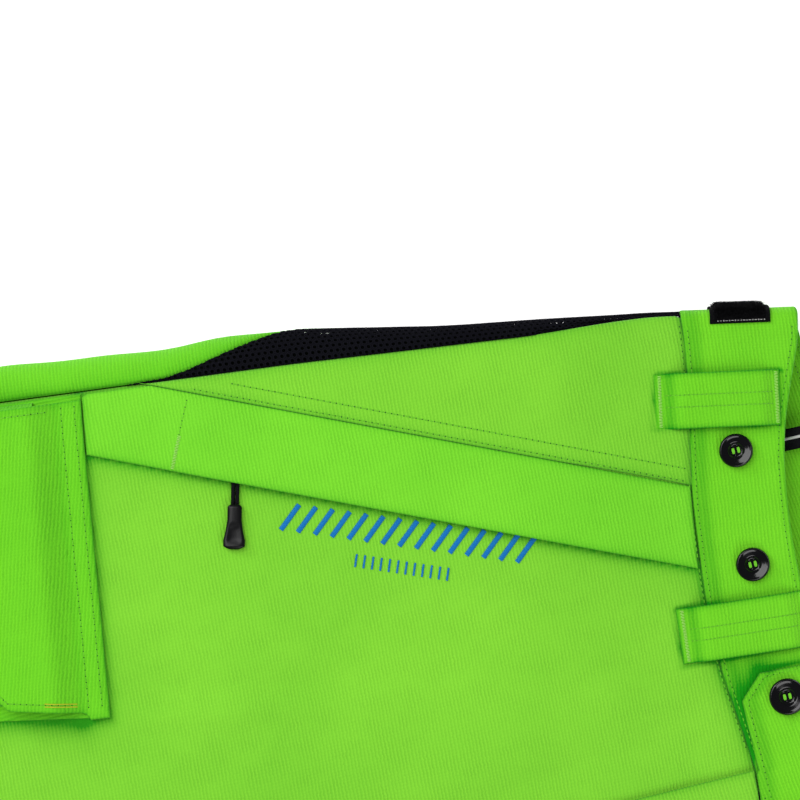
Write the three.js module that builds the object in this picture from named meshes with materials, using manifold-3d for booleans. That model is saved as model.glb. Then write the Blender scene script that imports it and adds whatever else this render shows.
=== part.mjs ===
// Chainsaw trousers with front cut protection, lying face up and flat on the ground.
// +X runs from the hems to the waist, +Y to the wearer's right and +Z up. Lengths are in millimetres.
// Inside garment(), x is measured from the front waist seam at the centre front, the waist datum.
import * as THREE from "three";
import { mergeVertices } from "three/addons/utils/BufferGeometryUtils.js";
import Module from "manifold-3d";

const wasm = await Module();
wasm.setup();

// ---- Driving dimensions -------------------------------------------------------------------
const HEM_X = -1000; // hem line
const CROTCH_X = -240; // where the legs part
const CLOTH = 1.5; // outer cloth with its backing
const FIT = 0.4; // clearance between pieces that touch
const SEAM_GAP = 1.2; // between the cloth and the waistband along the waist seam
const EDGE_DROP = 5; // how far the front falls at its side seams
const EDGE_WIDTH = 30; // over this width
const BAND_PROUD = 1.5; // waistband's outer face above the cloth
const BAND_THICK = 2.4;
const PACK_COUNT = 2; // protective packs in each leg
const PACK_THICK = 2.6; // one pack of warp-knitted layers
const PACK_DEPTH = 7; // outer cloth's face to the first pack, leaving room for the pocket bag
const PACK_TOP_X = -62;
const PACK_HEM = 50; // the packs stop this far above the hem
const LINING = 1;
const LINING_TOP_X = -50;
const HEM_TURN = 24; // inner turn-up that ends the lining above the hem
const LAYER_INSEAM = 6; // packs and lining stop this far inside the inseam
const LAYER_OUTSEAM = 8; // and this far inside the outseam
const BACK_CENTRE_Y = 34; // the back's flat part ends here above the crotch

// Fly
const FLY_LENGTH = 150;
const FLY_ZIP_Y = -18.5; // middle of the fly zip
const FLY_MOUTH = 15; // width of the gap between the two fronts over the zip
const FLY_COVER_WIDTH = 42;
const FLY_COVER_LIFT = 2.4;
const FLY_COVER_LAP = 0.6; // past the centre front
const FLY_COVER_CURVE = 26; // rise of its rounded lower end
const FLY_SLIDER_REST = 16; // below the waist seam
const TAB_REACH = 48; // waistband tab past the centre front
const TAB_CHAMFER = 12;

// Zips: an I-section slider runs in the slot between the two rows of teeth
const ZIP_TAPE = 26;
const ZIP_TAPE_THICK = 0.8;
const ZIP_TEETH_THICK = 2;
const ZIP_STOP = 4; // from the tape's end to the first tooth, and on to the slot
const ZIP_SLOT = 1.5;
const ZIP_TEETH = 5.4; // over both rows
const SLIDER_LENGTH = 10;
const SLIDER_WIDTH = 8;
const SLIDER_PLATE = 1;
const SLIDER_INSIDE = 2.8; // between the plates
const STUD_R = 1.2; // slider's bridge post, which the pull turns on
const STUD_HEIGHT = 3.2;
const EYELET_R = 3;
const EYELET_THICK = 1.4;
const ZIP_DEPTH = 2.9; // cloth face to the middle of the tape

// Hand pocket, in a frame that runs along the cover strip's free edge towards the waist
const POCKET_AT = [-290, 232];
const POCKET_ANGLE = -24;
const COVER_LENGTH = 308;
const COVER_WIDTH = 40;
const COVER_THICK = 1.6;
const COVER_LIFT = 3.6; // room for the pull cord under the free edge
const COVER_TRIM = 0.29; // slant of its end at the waist seam
const POCKET_ZIP_START = 55;
const POCKET_ZIP_LENGTH = 198;
const POCKET_ZIP_INSET = 12; // from the cover's free edge to the middle of the zip
const SLIDER_REST = 73;
const PULL_ANGLE = 255.5; // direction of the hanging pull
const PULL_CORD = 22;
const PULL_CORD_R = 1.1;
const GRIP_LENGTH = 22;
const GRIP_WIDTH = 10;
const GRIP_THICK = 4;
const BAG_LENGTH = 205;
const BAG_DEPTH = 150;
const BAG_SLANT = 0.25; // share of its depth lost at the low end
const BAG_CLOTH = 0.8;
const BAG_BEHIND = 5.6; // outer cloth's face to the bag
const BAG_ABOVE = 14; // from the zip to the bag's upper edge

// Thigh pocket, measured inwards from the outseam and hemwards from the flap's seam line
const FLAP_SEAM_X = -286.5; // seam line at the outseam
const FLAP_SEAM_SLOPE = 0.137; // hemwards drift of the seam line per millimetre inwards
const FLAP_BAND = 11; // stitched-down strip above the flap
const FLAP_LENGTH = 60;
const FLAP_CHAMFER = 22;
const FLAP_WIDTH = 160;
const FLAP_TAPER = 0.2;
const FLAP_INSET = 4; // flap's outer edge inside the outseam
const FLAP_RISE = 14; // length over which the flap climbs on to the pocket
const POCKET_MOUTH = 24; // seam line to the pocket's open edge
const POCKET_END = 205; // seam line to the pocket's bottom
const POCKET_WIDTH = 163;
const POCKET_TAPER = 0.12;
const POCKET_INSET = 2; // pocket's outer edge inside the outseam
const POCKET_GAP = 6; // inside height
const POCKET_CLOTH = 1.4;
const TAPE_THICK = 0.8; // hook and loop tapes
const TAPE_WIDTH = 22;
const TAPE_LENGTH = 90;
const TAPE_BACK = 6; // from the flap's free edge

// Belt loops and buttons
const LOOP_WIDTH = 28;
const LOOP_CLOTH = 1.5;
const BACK_LAYER = 1.2; // cloth of the pieces sewn flat under the back
const LOOP_GAP = 5.4; // clear height under a front loop
const BUTTON_R = 8.1;
const BUTTON_THICK = 3.2;
const BUTTON_SHANK = 1.2;
const SHANK_R = 1.3;
const BUTTONHOLE = 20;
const FRONT_LOOPS = [
  { foot: [-8, 192], head: [54, 180] },
  { foot: [-23, 74.5], head: [42, 69] },
];
const BRACE_BUTTONS = [
  [26, 159],
  [21, 101.5],
];
const WAIST_BUTTON = [22.3, 33.2];
const BACK_LOOP_Y = [-150, 0, 150];
const WAIST_SIDE_X = 45; // the waistband's side takes its section from here
const PATCH_X = [29, 44, 59];
const PATCH_ON_FRONT = 3;
const PATCH_UNDER_BACK = 12;
const PATCH_THICK = 1.3;

// Hanging loop
const HANGER_X = [48, 78];
const HANGER_Y = [152, 163];
const HANGER_RISE = 8;
const HANGER_THICK = 1.1;

// Ankles
const ANKLE_PATCH_LENGTH = 120;
const ANKLE_PATCH_REACH = 78;
const HOOK_WIRE_R = 1.25;
const HOOK_WIDTH = 12;
const HOOK_TAB_LENGTH = 30;
const HOOK_TAB_PAST = 3; // past the hem
const HOOK_REACH = 15.5;
const HOOK_Y = 181; // middle of the leg at the hem

// Rear pocket, pressed flat under the back
const REAR_POCKET = { length: 150, width: 140, x: -135, y: 110 };

// ---- Body curves: each row is [x or distance from the centre front, value] ----------------
function curve(rows, Interpolant = THREE.LinearInterpolant) {
  const at = new Interpolant(
    rows.map((row) => row[0]),
    rows.map((row) => row[1]),
    1,
  );
  const low = rows[0][0];
  const high = rows[rows.length - 1][0];
  return (t) => at.evaluate(THREE.MathUtils.clamp(t, low, high))[0];
}

const smoothCurve = (rows) => curve(rows, THREE.CubicInterpolant);

const thickness = curve([
  [HEM_X, 30],
  [-600, 38],
  [-330, 40],
  [-245, 38.5],
  [0, 26],
  [100, 24],
]);
const outseamY = curve([
  [HEM_X, 284],
  [-600, 281],
  [-450, 276],
  [-330, 268],
  [-180, 253],
  [-60, 239],
  [0, 231],
  [71, 217],
]);
const outerBulge = curve([
  [HEM_X, 13],
  [-600, 16],
  [-180, 17],
  [-100, 9],
  [0, 4],
]);
const inseamY = curve([
  [HEM_X, 78],
  [-600, 45],
  [-450, 29],
  [-330, 16],
  [CROTCH_X, 9],
]);
const VENT_START_X = -252;
const ventWidth = curve([
  [VENT_START_X, 2.2],
  [-230, 4.5],
  [-215, 9],
  [-197, 16],
  [-180, 25],
  [-100, 58],
  [-60, 70],
  [20, 64],
]);
const frontSeamX = smoothCurve([
  [0, -1],
  [58, -7],
  [95, -5.5],
  [140, -1],
  [189, 9],
  [234, 16],
]);
const frontTopX = smoothCurve([
  [0, 43],
  [99, 43],
  [129, 45],
  [166, 51],
  [187, 58],
  [231, 73],
]);
const backSeamX = smoothCurve([
  [0, 34],
  [120, 30],
  [200, 20],
  [234, 16],
]);
const backTopX = smoothCurve([
  [0, 88],
  [120, 84],
  [200, 75],
  [231, 73],
]);

const WAIST_SIDE_Y = outseamY(0);
const WAIST_TOP_X = backTopX(0);
const groundZ = (x) => 1.6 + 1.6 * THREE.MathUtils.smoothstep(x, -100, -20);
const isLeg = (x) => x < CROTCH_X - 1;
const seamZ = (x) => thickness(x) - EDGE_DROP;
const innerBulge = (x) => Math.min(8, inseamY(x) - 1);
const drop = (away) => EDGE_DROP * Math.max(0, 1 - away / EDGE_WIDTH) ** 2;
/** Where a point whose y was found at one x lies at another, as the garment tapers with its outseam. */
const tapered = (y, fromX, toX) => (y * outseamY(toX)) / outseamY(fromX);

/** Height of the front's outer face. */
function frontZ(x, y) {
  const outside = drop(outseamY(x) - Math.abs(y));
  const inside = isLeg(x) ? drop(Math.abs(y) - inseamY(x)) : 0;
  return thickness(x) - Math.max(outside, inside);
}

/** A point on half an ellipse that stands on its side, from the top at 0 to the bottom at PI. */
function halfEllipse(middleY, bulge, x, angle, lift) {
  const low = groundZ(x);
  const half = (seamZ(x) - low) / 2;
  const normal = new THREE.Vector2(Math.sin(angle) / bulge, Math.cos(angle) / half);
  normal.normalize().multiplyScalar(lift);
  const y = middleY + bulge * Math.sin(angle) + normal.x;
  return [x, y, low + half + half * Math.cos(angle) + normal.y];
}

const outerArc = (x) =>
  Math.PI * Math.sqrt((outerBulge(x) ** 2 + ((seamZ(x) - groundZ(x)) / 2) ** 2) / 2);

/** A point that is a distance along the cloth from the outseam, round the side and under the back. */
function roundSide(x, along, lift) {
  const arc = outerArc(x);
  if (along < arc)
    return halfEllipse(outseamY(x), outerBulge(x), x, (Math.PI * along) / arc, lift);
  return [x, outseamY(x) - (along - arc), groundZ(x) - lift];
}

// ---- Solids --------------------------------------------------------------------------------
/** A closed solid between two grids of points that have the same rows and columns. */
function sheet(upper, lower) {
  const rows = upper.length;
  const columns = upper[0].length;
  const points = [...upper.flat(), ...lower.flat()];
  const faces = [];
  const quad = (a, b, c, d) => faces.push(a, b, c, a, c, d);
  const top = (i, j) => i * columns + j;
  const bottom = (i, j) => rows * columns + top(i, j);
  for (let i = 0; i < rows - 1; i++)
    for (let j = 0; j < columns - 1; j++) {
      quad(top(i, j), top(i + 1, j), top(i + 1, j + 1), top(i, j + 1));
      quad(bottom(i, j), bottom(i, j + 1), bottom(i + 1, j + 1), bottom(i + 1, j));
    }
  for (let i = 0; i < rows - 1; i++) {
    quad(top(i, 0), bottom(i, 0), bottom(i + 1, 0), top(i + 1, 0));
    const j = columns - 1;
    quad(top(i, j), top(i + 1, j), bottom(i + 1, j), bottom(i, j));
  }
  for (let j = 0; j < columns - 1; j++) {
    quad(top(0, j), top(0, j + 1), bottom(0, j + 1), bottom(0, j));
    const i = rows - 1;
    quad(top(i, j), bottom(i, j), bottom(i, j + 1), top(i, j + 1));
  }
  const geometry = new THREE.BufferGeometry();
  geometry.setAttribute("position", new THREE.Float32BufferAttribute(points.flat(), 3));
  geometry.setIndex(faces);
  return facingOut(geometry);
}

/** Turns every face round if the faces enclose a negative volume. */
function facingOut(geometry) {
  const index = geometry.index.array;
  const position = geometry.getAttribute("position");
  const corners = [0, 1, 2].map(() => new THREE.Vector3());
  let volume = 0;
  for (let i = 0; i < index.length; i += 3) {
    corners.forEach((corner, k) => corner.fromBufferAttribute(position, index[i + k]));
    volume += corners[0].dot(corners[1].clone().cross(corners[2]));
  }
  if (volume < 0)
    for (let i = 0; i < index.length; i += 3)
      [index[i + 1], index[i + 2]] = [index[i + 2], index[i + 1]];
  return geometry;
}

const steps = (count) => Array.from({ length: count + 1 }, (_, i) => i / count);

/** A sheet that lies on the front. at(u, v) is its plan, and low and high are lifts off the cloth. */
function onFront({ at, low, high, rows, columns, side = 1 }) {
  const grid = (lift) =>
    rows.map((u) =>
      columns.map((v) => {
        const [x, y] = at(u, v);
        return [x, y * side, frontZ(x, y) + lift(u, v)];
      }),
    );
  return sheet(grid(high), grid(low));
}

function toSolid(geometry) {
  const bare = geometry.clone();
  bare.deleteAttribute("normal");
  bare.deleteAttribute("uv");
  const merged = mergeVertices(bare, 1e-3);
  const mesh = new wasm.Mesh({
    numProp: 3,
    vertProperties: merged.getAttribute("position").array,
    triVerts: new Uint32Array(merged.index.array),
  });
  return new wasm.Manifold(mesh);
}

function toGeometry(solid) {
  const mesh = solid.getMesh();
  const geometry = new THREE.BufferGeometry();
  geometry.setAttribute("position", new THREE.BufferAttribute(mesh.vertProperties, 3));
  geometry.setIndex(new THREE.BufferAttribute(mesh.triVerts, 1));
  return geometry;
}

const joined = (...parts) => toGeometry(parts.map(toSolid).reduce((a, b) => a.add(b)));
const cut = (geometry, ...tools) =>
  toGeometry(tools.map(toSolid).reduce((a, b) => a.subtract(b), toSolid(geometry)));
const box = (length, width, height, x = 0, y = 0, z = 0) =>
  new THREE.BoxGeometry(length, width, height).translate(x, y, z);

// ---- Materials -----------------------------------------------------------------------------
const material = (color, roughness, metalness = 0) =>
  new THREE.MeshStandardMaterial({ color, roughness, metalness });
const lime = material(0x6cc82a, 0.85);
const limeLining = material(0x3f9a2a, 0.9);
const blackMesh = material(0x101014, 0.9);
const blackCloth = material(0x17171a, 0.9);
const blackPile = material(0x0c0c0e, 1);
const paleFelt = material(0xe8e4d8, 0.95);
const bagCloth = material(0x2a2c2e, 0.9);
const blackPlastic = material(0x0b0b0c, 0.35);
const darkMetal = material(0x55565a, 0.35, 0.9);

const trousers = new THREE.Group();
function add(name, geometry, finish, parent = trousers) {
  const mesh = new THREE.Mesh(geometry, finish);
  mesh.name = name;
  parent.add(mesh);
  return mesh;
}

// ---- Leg and body panels --------------------------------------------------------------------
const STATIONS = [
  ...[-900, -800, -700, -600, -525, -450, -390, -330, -290, -265, -245],
  ...[VENT_START_X, CROTCH_X, -222, -197, -180, -160, -140, -100, -60, -30],
]
  .filter((x) => x > HEM_X + HEM_TURN)
  .sort((a, b) => a - b);
const ACROSS = [0, 0.04, 0.1, 0.22, 0.36, 0.5, 0.64, 0.76, 0.87, 0.94, 1];

/** Inner edge of a front panel: the inseam, the crotch seam or the edge of the fly's gap. */
function frontInnerY(x, side) {
  if (isLeg(x)) return inseamY(x);
  const halfMouth = side > 0 ? FLY_ZIP_Y + FLY_MOUTH / 2 : -FLY_ZIP_Y + FLY_MOUTH / 2;
  return x > -FLY_LENGTH - 1 ? halfMouth : FIT;
}

/** A front panel from the hem to the waist seam, whose place depends on the distance from the centre. */
function frontPanel(side) {
  const row = (x, lift, isTop) =>
    ACROSS.map((v) => {
      const across = THREE.MathUtils.lerp(frontInnerY(x, side), outseamY(x) - FIT / 2, v);
      const at = isTop ? frontSeamX(Math.abs(across)) - SEAM_GAP : x;
      const y = tapered(across, x, at);
      return [at, y * side, frontZ(at, y) - lift];
    });
  const grid = (lift) => [
    ...[HEM_X, ...STATIONS].map((x) => row(x, lift, false)),
    row(0, lift, true),
  ];
  return sheet(grid(0), grid(CLOTH));
}

/** The padding and lining of a leg: straight across at the top, hemmed above the hem. */
function innerLayer(side, fromX, toX, depth, thick) {
  const between = STATIONS.filter((x) => x > fromX && x < toX);
  const stations = [fromX, ...between, toX];
  const grid = (lift) =>
    stations.map((x) => {
      const low = isLeg(x) ? inseamY(x) + LAYER_INSEAM : FLY_COVER_WIDTH - 2;
      const high = outseamY(x) - LAYER_OUTSEAM;
      return ACROSS.map((v) => {
        const y = THREE.MathUtils.lerp(low, high, v);
        return [x, y * side, frontZ(x, y) - lift];
      });
    });
  return sheet(grid(depth), grid(depth + thick));
}

const BACK_SIDE_STEPS = 8;
const BACK_FLAT_STEPS = 3;
const BACK_INNER_STEPS = 4;
const BACK_LAP = 26; // how far the side sampling runs under the back

function backRow(x, side, lift, top) {
  const from = x < VENT_START_X ? FIT : ventWidth(x) + FIT;
  const end = Math.max(outerArc(x), from) + BACK_LAP;
  const points = steps(BACK_SIDE_STEPS).map((t) =>
    roundSide(x, THREE.MathUtils.lerp(from, end, t), lift),
  );
  const flatFrom = points[points.length - 1][1];
  const flatTo = isLeg(x) ? inseamY(x) : BACK_CENTRE_Y;
  for (let k = 1; k < BACK_FLAT_STEPS; k++) {
    const y = THREE.MathUtils.lerp(flatFrom, flatTo, k / BACK_FLAT_STEPS);
    points.push([x, y, groundZ(x) - lift]);
  }
  steps(BACK_INNER_STEPS).forEach((t) => {
    if (!isLeg(x)) {
      points.push([x, THREE.MathUtils.lerp(flatTo, FIT, t), groundZ(x) - lift]);
      return;
    }
    const angle = Math.PI - t * (Math.PI - FIT / 8);
    const [, y, z] = halfEllipse(0, innerBulge(x), x, angle, lift);
    points.push([x, inseamY(x) - y, z]);
  });
  return points.map(([, y, z]) => {
    const at = top ? backSeamX(y) - SEAM_GAP : x;
    return [at, tapered(y, x, at) * side, z];
  });
}

function backPanel(side) {
  const grid = (lift) => [
    ...[HEM_X, ...STATIONS].map((x) => backRow(x, side, lift, false)),
    backRow(0, side, lift, true),
  ];
  return sheet(grid(0), grid(-CLOTH));
}

/** The open-work panel between the front and the back, from the waist to the thigh. */
function ventPanel(side) {
  const row = (x, lift, top) =>
    steps(8).map((t) => {
      const along = THREE.MathUtils.lerp(FIT, ventWidth(x) - FIT, t);
      const [, y, z] = roundSide(x, along, lift);
      const at = top ? backSeamX(y) - SEAM_GAP : x;
      return [at, tapered(y, x, at) * side, z];
    });
  const stations = STATIONS.filter((x) => x >= VENT_START_X);
  const grid = (lift) => [...stations.map((x) => row(x, lift, false)), row(0, lift, true)];
  return sheet(grid(-0.2), grid(-0.2 - CLOTH / 2));
}

// ---- Waistband ------------------------------------------------------------------------------
function rightBand() {
  return onFront({
    at: (u, v) => {
      const y = THREE.MathUtils.lerp(FLY_ZIP_Y + FLY_MOUTH / 2, WAIST_SIDE_Y - FIT, u);
      const reach = Math.abs(y);
      const x = THREE.MathUtils.lerp(frontSeamX(reach), frontTopX(reach), v);
      return [x, tapered(y, 0, x)];
    },
    low: () => BAND_PROUD - BAND_THICK,
    high: () => BAND_PROUD,
    rows: steps(16),
    columns: steps(2),
  });
}

/** The left waistband, whose end steps up over the right one and ends in a chamfered tab. */
function leftBand() {
  const rightEnd = -FLY_ZIP_Y - FLY_MOUTH / 2;
  const plan = (u, v) => {
    const y = THREE.MathUtils.lerp(WAIST_SIDE_Y - FIT, -TAB_REACH, u);
    const chamfer = Math.max(0, -y - (TAB_REACH - TAB_CHAMFER));
    const low = y < 0 ? chamfer : frontSeamX(y);
    const x = THREE.MathUtils.lerp(low, frontTopX(Math.abs(y)), v);
    return [x, tapered(y, 0, x)];
  };
  const lifted = (base) => (u, v) => {
    const past = 1 - THREE.MathUtils.smoothstep(plan(u, v)[1], rightEnd + 3, rightEnd + 17);
    return base + (BAND_THICK + FIT) * past;
  };
  const band = onFront({
    at: plan,
    low: lifted(BAND_PROUD - BAND_THICK),
    high: lifted(BAND_PROUD),
    rows: steps(30),
    columns: steps(2),
    side: -1,
  });
  const [x, y] = WAIST_BUTTON;
  const width = 2 * SHANK_R + 2 * FIT;
  const slit = box(width, BUTTONHOLE, 30, x, y + width / 2 - BUTTONHOLE / 2, frontZ(x, y));
  return cut(band, slit);
}

/** How far along the side of the waistband its rows lie, from the outseam round to the back. */
const sideRows = () => steps(6).map((t) => t * outerArc(WAIST_SIDE_X));

function backBand() {
  const arc = outerArc(WAIST_SIDE_X);
  const round = sideRows().map((along, k) => (k === 0 ? FIT : along));
  const flat = steps(6).slice(1).map((t) => arc + outseamY(WAIST_SIDE_X) * t);
  const half = [...round, ...flat];
  const path = [...half.map((s) => [s, 1]), ...half.slice(0, -1).reverse().map((s) => [s, -1])];
  const grid = (lift) =>
    path.map(([along, side]) => {
      const [, reach, z] = roundSide(WAIST_SIDE_X, along, lift);
      const y = Math.abs(tapered(reach, WAIST_SIDE_X, 0));
      return steps(2).map((t) => {
        const x = THREE.MathUtils.lerp(backSeamX(y), backTopX(y), t);
        return [x, tapered(reach, WAIST_SIDE_X, x) * side, z];
      });
    });
  return sheet(grid(BAND_PROUD), grid(BAND_PROUD - BAND_THICK));
}

/** A pile patch for the braces' fastening, folded over the side of the waistband. */
function waistPatch(side) {
  const onTop = (lift) =>
    [PATCH_ON_FRONT, PATCH_ON_FRONT / 2].map((away) => [
      outseamY(WAIST_SIDE_X) - away,
      frontZ(WAIST_SIDE_X, outseamY(WAIST_SIDE_X) - away) + lift,
    ]);
  const onSide = (lift) =>
    [...sideRows(), outerArc(WAIST_SIDE_X) + PATCH_UNDER_BACK].map((along) =>
      roundSide(WAIST_SIDE_X, along, lift).slice(1),
    );
  const grid = (lift) =>
    [...onTop(lift), ...onSide(lift)].map(([y, z]) =>
      PATCH_X.map((x) => [x, tapered(y, WAIST_SIDE_X, x) * side, z]),
    );
  return sheet(grid(BAND_PROUD + FIT + PATCH_THICK), grid(BAND_PROUD + FIT));
}

function frontLoop({ foot, head }, side) {
  const start = new THREE.Vector2(...foot);
  const along = new THREE.Vector2(...head).sub(start);
  const across = new THREE.Vector2(-along.y, along.x).setLength(LOOP_WIDTH);
  const rise = (u) => {
    const up = THREE.MathUtils.smoothstep(u, 0.16, 0.3);
    const down = THREE.MathUtils.smoothstep(u, 0.84, 0.95);
    const onBand = BAND_PROUD * THREE.MathUtils.smoothstep(u, 0.08, 0.2);
    return FIT + onBand + LOOP_GAP * (up - down);
  };
  return onFront({
    at: (u, v) => {
      const place = start.clone().addScaledVector(along, u);
      place.addScaledVector(across, v - 0.5);
      return [place.x, place.y];
    },
    low: rise,
    high: (u) => rise(u) + LOOP_CLOTH,
    rows: steps(20),
    columns: steps(2),
    side,
  });
}

/** A back loop, pressed flat under the garment. */
function backLoop(y) {
  const low = backSeamX(Math.abs(y)) - 14;
  const high = backTopX(Math.abs(y)) - 4;
  return box(high - low, LOOP_WIDTH, BACK_LAYER, (low + high) / 2, y, BACK_LAYER / 2);
}

/** A four-hole button with a raised rim on a thread shank. */
function button(shank) {
  const r = BUTTON_R;
  const t = BUTTON_THICK;
  const profile = [
    [0, 0],
    [SHANK_R, 0],
    [SHANK_R, shank],
    [r * 0.9, shank + 0.4],
    [r, shank + t * 0.5],
    [r * 0.93, shank + t],
    [r * 0.66, shank + t * 0.92],
    [r * 0.5, shank + t * 0.5],
    [0, shank + t * 0.5],
  ];
  const dish = new THREE.LatheGeometry(
    profile.map(([x, y]) => new THREE.Vector2(x, y)),
    18,
  );
  dish.rotateX(Math.PI / 2);
  const holes = [45, 135, 225, 315].map((degrees) => {
    const turn = THREE.MathUtils.degToRad(degrees);
    const hole = new THREE.CylinderGeometry(0.8, 0.8, t * 0.9, 6).rotateX(Math.PI / 2);
    return hole.translate(2.2 * Math.cos(turn), 2.2 * Math.sin(turn), shank + t * 0.5);
  });
  return cut(dish, ...holes);
}

function placeButton(name, [x, y], base, shank) {
  const mesh = add(name, button(shank), blackPlastic);
  mesh.position.set(x, y, frontZ(x, Math.abs(y)) + base);
}

// ---- Zips -----------------------------------------------------------------------------------
/** Two tapes with their rows of teeth, joined at both end stops. The middle of the tape is at z 0. */
function zipTape(length) {
  const tape = box(length, ZIP_TAPE, ZIP_TAPE_THICK);
  const teeth = box(length - 2 * ZIP_STOP, ZIP_TEETH, ZIP_TEETH_THICK);
  const slot = box(length - 3 * ZIP_STOP, ZIP_SLOT, 2 * ZIP_TEETH_THICK);
  return cut(joined(tape, teeth), slot);
}

/** An I-section slider with a round post for its pull. The middle of the tape is at z 0. */
function zipSlider() {
  const plateZ = (SLIDER_INSIDE + SLIDER_PLATE) / 2;
  const plates = [1, -1].map((s) =>
    box(SLIDER_LENGTH, SLIDER_WIDTH, SLIDER_PLATE, 0, 0, s * plateZ),
  );
  const web = box(SLIDER_LENGTH - 4, ZIP_SLOT - 1.5 * FIT, 2 * plateZ - 0.2);
  const stud = new THREE.CylinderGeometry(STUD_R, STUD_R, STUD_HEIGHT, 12).rotateX(Math.PI / 2);
  return joined(...plates, web, stud.translate(0, 0, plateZ + STUD_HEIGHT / 2 + 0.2));
}

const CORD_Z = 4.6; // middle of the pull's cord above the middle of the tape

/** An eyelet round the slider's post with its cord, along +X. */
function pullCord() {
  const ring = new THREE.CylinderGeometry(EYELET_R, EYELET_R, EYELET_THICK, 16);
  ring.rotateX(Math.PI / 2);
  const eye = new THREE.CylinderGeometry(STUD_R + FIT, STUD_R + FIT, 4, 12).rotateX(Math.PI / 2);
  const cord = new THREE.CylinderGeometry(PULL_CORD_R, PULL_CORD_R, PULL_CORD, 10);
  cord.rotateZ(Math.PI / 2).translate(PULL_CORD / 2 + 2, 0, 0);
  return cut(joined(ring, cord), eye);
}

/** A moulded grip that widens to its rounded end, along +X from the end of the cord. */
function pullGrip() {
  const half = GRIP_WIDTH / 2;
  const outline = new THREE.Shape();
  outline.moveTo(0, -half * 0.56);
  outline.lineTo(GRIP_LENGTH * 0.35, -half * 0.6);
  outline.quadraticCurveTo(GRIP_LENGTH * 0.6, -half, GRIP_LENGTH * 0.85, -half);
  outline.quadraticCurveTo(GRIP_LENGTH, -half, GRIP_LENGTH, 0);
  outline.quadraticCurveTo(GRIP_LENGTH, half, GRIP_LENGTH * 0.85, half);
  outline.quadraticCurveTo(GRIP_LENGTH * 0.6, half, GRIP_LENGTH * 0.35, half * 0.6);
  outline.lineTo(0, half * 0.56);
  const grip = new THREE.ExtrudeGeometry(outline, {
    depth: GRIP_THICK - 2,
    bevelThickness: 1,
    bevelSize: 0.8,
    bevelOffset: -0.8,
    bevelSegments: 2,
    curveSegments: 5,
  });
  return grip.translate(0, 0, 1 - GRIP_THICK / 2);
}

// ---- Hand pockets ---------------------------------------------------------------------------
const pocketTurn = THREE.MathUtils.degToRad(POCKET_ANGLE);
const pocketAt = (along, across) => [
  POCKET_AT[0] + along * Math.cos(pocketTurn) - across * Math.sin(pocketTurn),
  POCKET_AT[1] + along * Math.sin(pocketTurn) + across * Math.cos(pocketTurn),
];
const ZIP_MIDDLE = POCKET_ZIP_START + POCKET_ZIP_LENGTH / 2;

/** A frame at x and y that lies on the plane of the zip's tape, turned about the cloth's normal. */
function zipFrame(x, y, turn, along) {
  const fall = Math.atan2(frontZ(-FLY_LENGTH, 0) - frontZ(-1, 0), FLY_LENGTH - 1);
  const frame = new THREE.Group();
  frame.position.set(x, y, frontZ(x, Math.abs(y)) - ZIP_DEPTH / Math.cos(fall));
  frame.rotation.set(0, fall, turn, "YZX");
  const carriage = new THREE.Group();
  carriage.position.x = along;
  frame.add(carriage);
  trousers.add(frame);
  return { frame, carriage };
}

function pocketMouth(side) {
  const [x, y] = pocketAt(ZIP_MIDDLE, POCKET_ZIP_INSET);
  const mouth = box(POCKET_ZIP_LENGTH - 3 * ZIP_STOP, SLIDER_WIDTH + 4, 60);
  return mouth.rotateZ(pocketTurn * side).translate(x, y * side, frontZ(x, y));
}

/** Where the cover's cloth starts at a distance across it: at the flap's seam line or the outseam. */
function coverStart(across) {
  const isOff = ([x, y]) => {
    const inwards = outseamY(x) - y;
    return inwards < COVER_THICK || x < FLAP_SEAM_X - inwards * FLAP_SEAM_SLOPE + 2 * FIT;
  };
  let along = -COVER_WIDTH;
  while (isOff(pocketAt(along, across))) along += 0.1;
  return along;
}

function pocketCover(side) {
  const lift = (v) => COVER_LIFT + (FIT - COVER_LIFT) * THREE.MathUtils.smoothstep(v, 0.45, 1);
  return onFront({
    at: (u, v) => {
      const across = v * COVER_WIDTH;
      const end = COVER_LENGTH - across * COVER_TRIM - FIT;
      return pocketAt(THREE.MathUtils.lerp(coverStart(across), end, u), across);
    },
    low: (u, v) => lift(v),
    high: (u, v) => lift(v) + COVER_THICK,
    rows: steps(16),
    columns: steps(6),
    side,
  });
}

/** The pocket's bag, which lies flat and empty between the cloth and the padding. */
function pocketBag(side) {
  return onFront({
    at: (u, v) => {
      const along = POCKET_ZIP_START - ZIP_STOP + u * (BAG_LENGTH + ZIP_STOP);
      const reach = BAG_DEPTH * (1 - BAG_SLANT * (1 - u));
      const [x, y] = pocketAt(along, POCKET_ZIP_INSET + BAG_ABOVE - v * reach);
      return [Math.min(x, -12), Math.max(y, FLY_COVER_WIDTH + 2)];
    },
    low: () => -BAG_BEHIND - BAG_CLOTH,
    high: () => -BAG_BEHIND,
    rows: steps(10),
    columns: steps(6),
    side,
  });
}

// ---- Thigh pockets --------------------------------------------------------------------------
/** Plan of the thigh pocket: inwards from the outseam, and hemwards from the flap's seam line. */
function thighAt(inwards, down) {
  const x = FLAP_SEAM_X - inwards * FLAP_SEAM_SLOPE - down;
  return [x, outseamY(x) - inwards];
}
const POCKET_TOP = FIT + POCKET_CLOTH + POCKET_GAP + POCKET_CLOTH; // pocket's outer face
const FLAP_LOW = POCKET_TOP + 2 * TAPE_THICK + 3 * FIT;
const HINGE_DOWN = FLAP_BAND + FIT;

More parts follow.
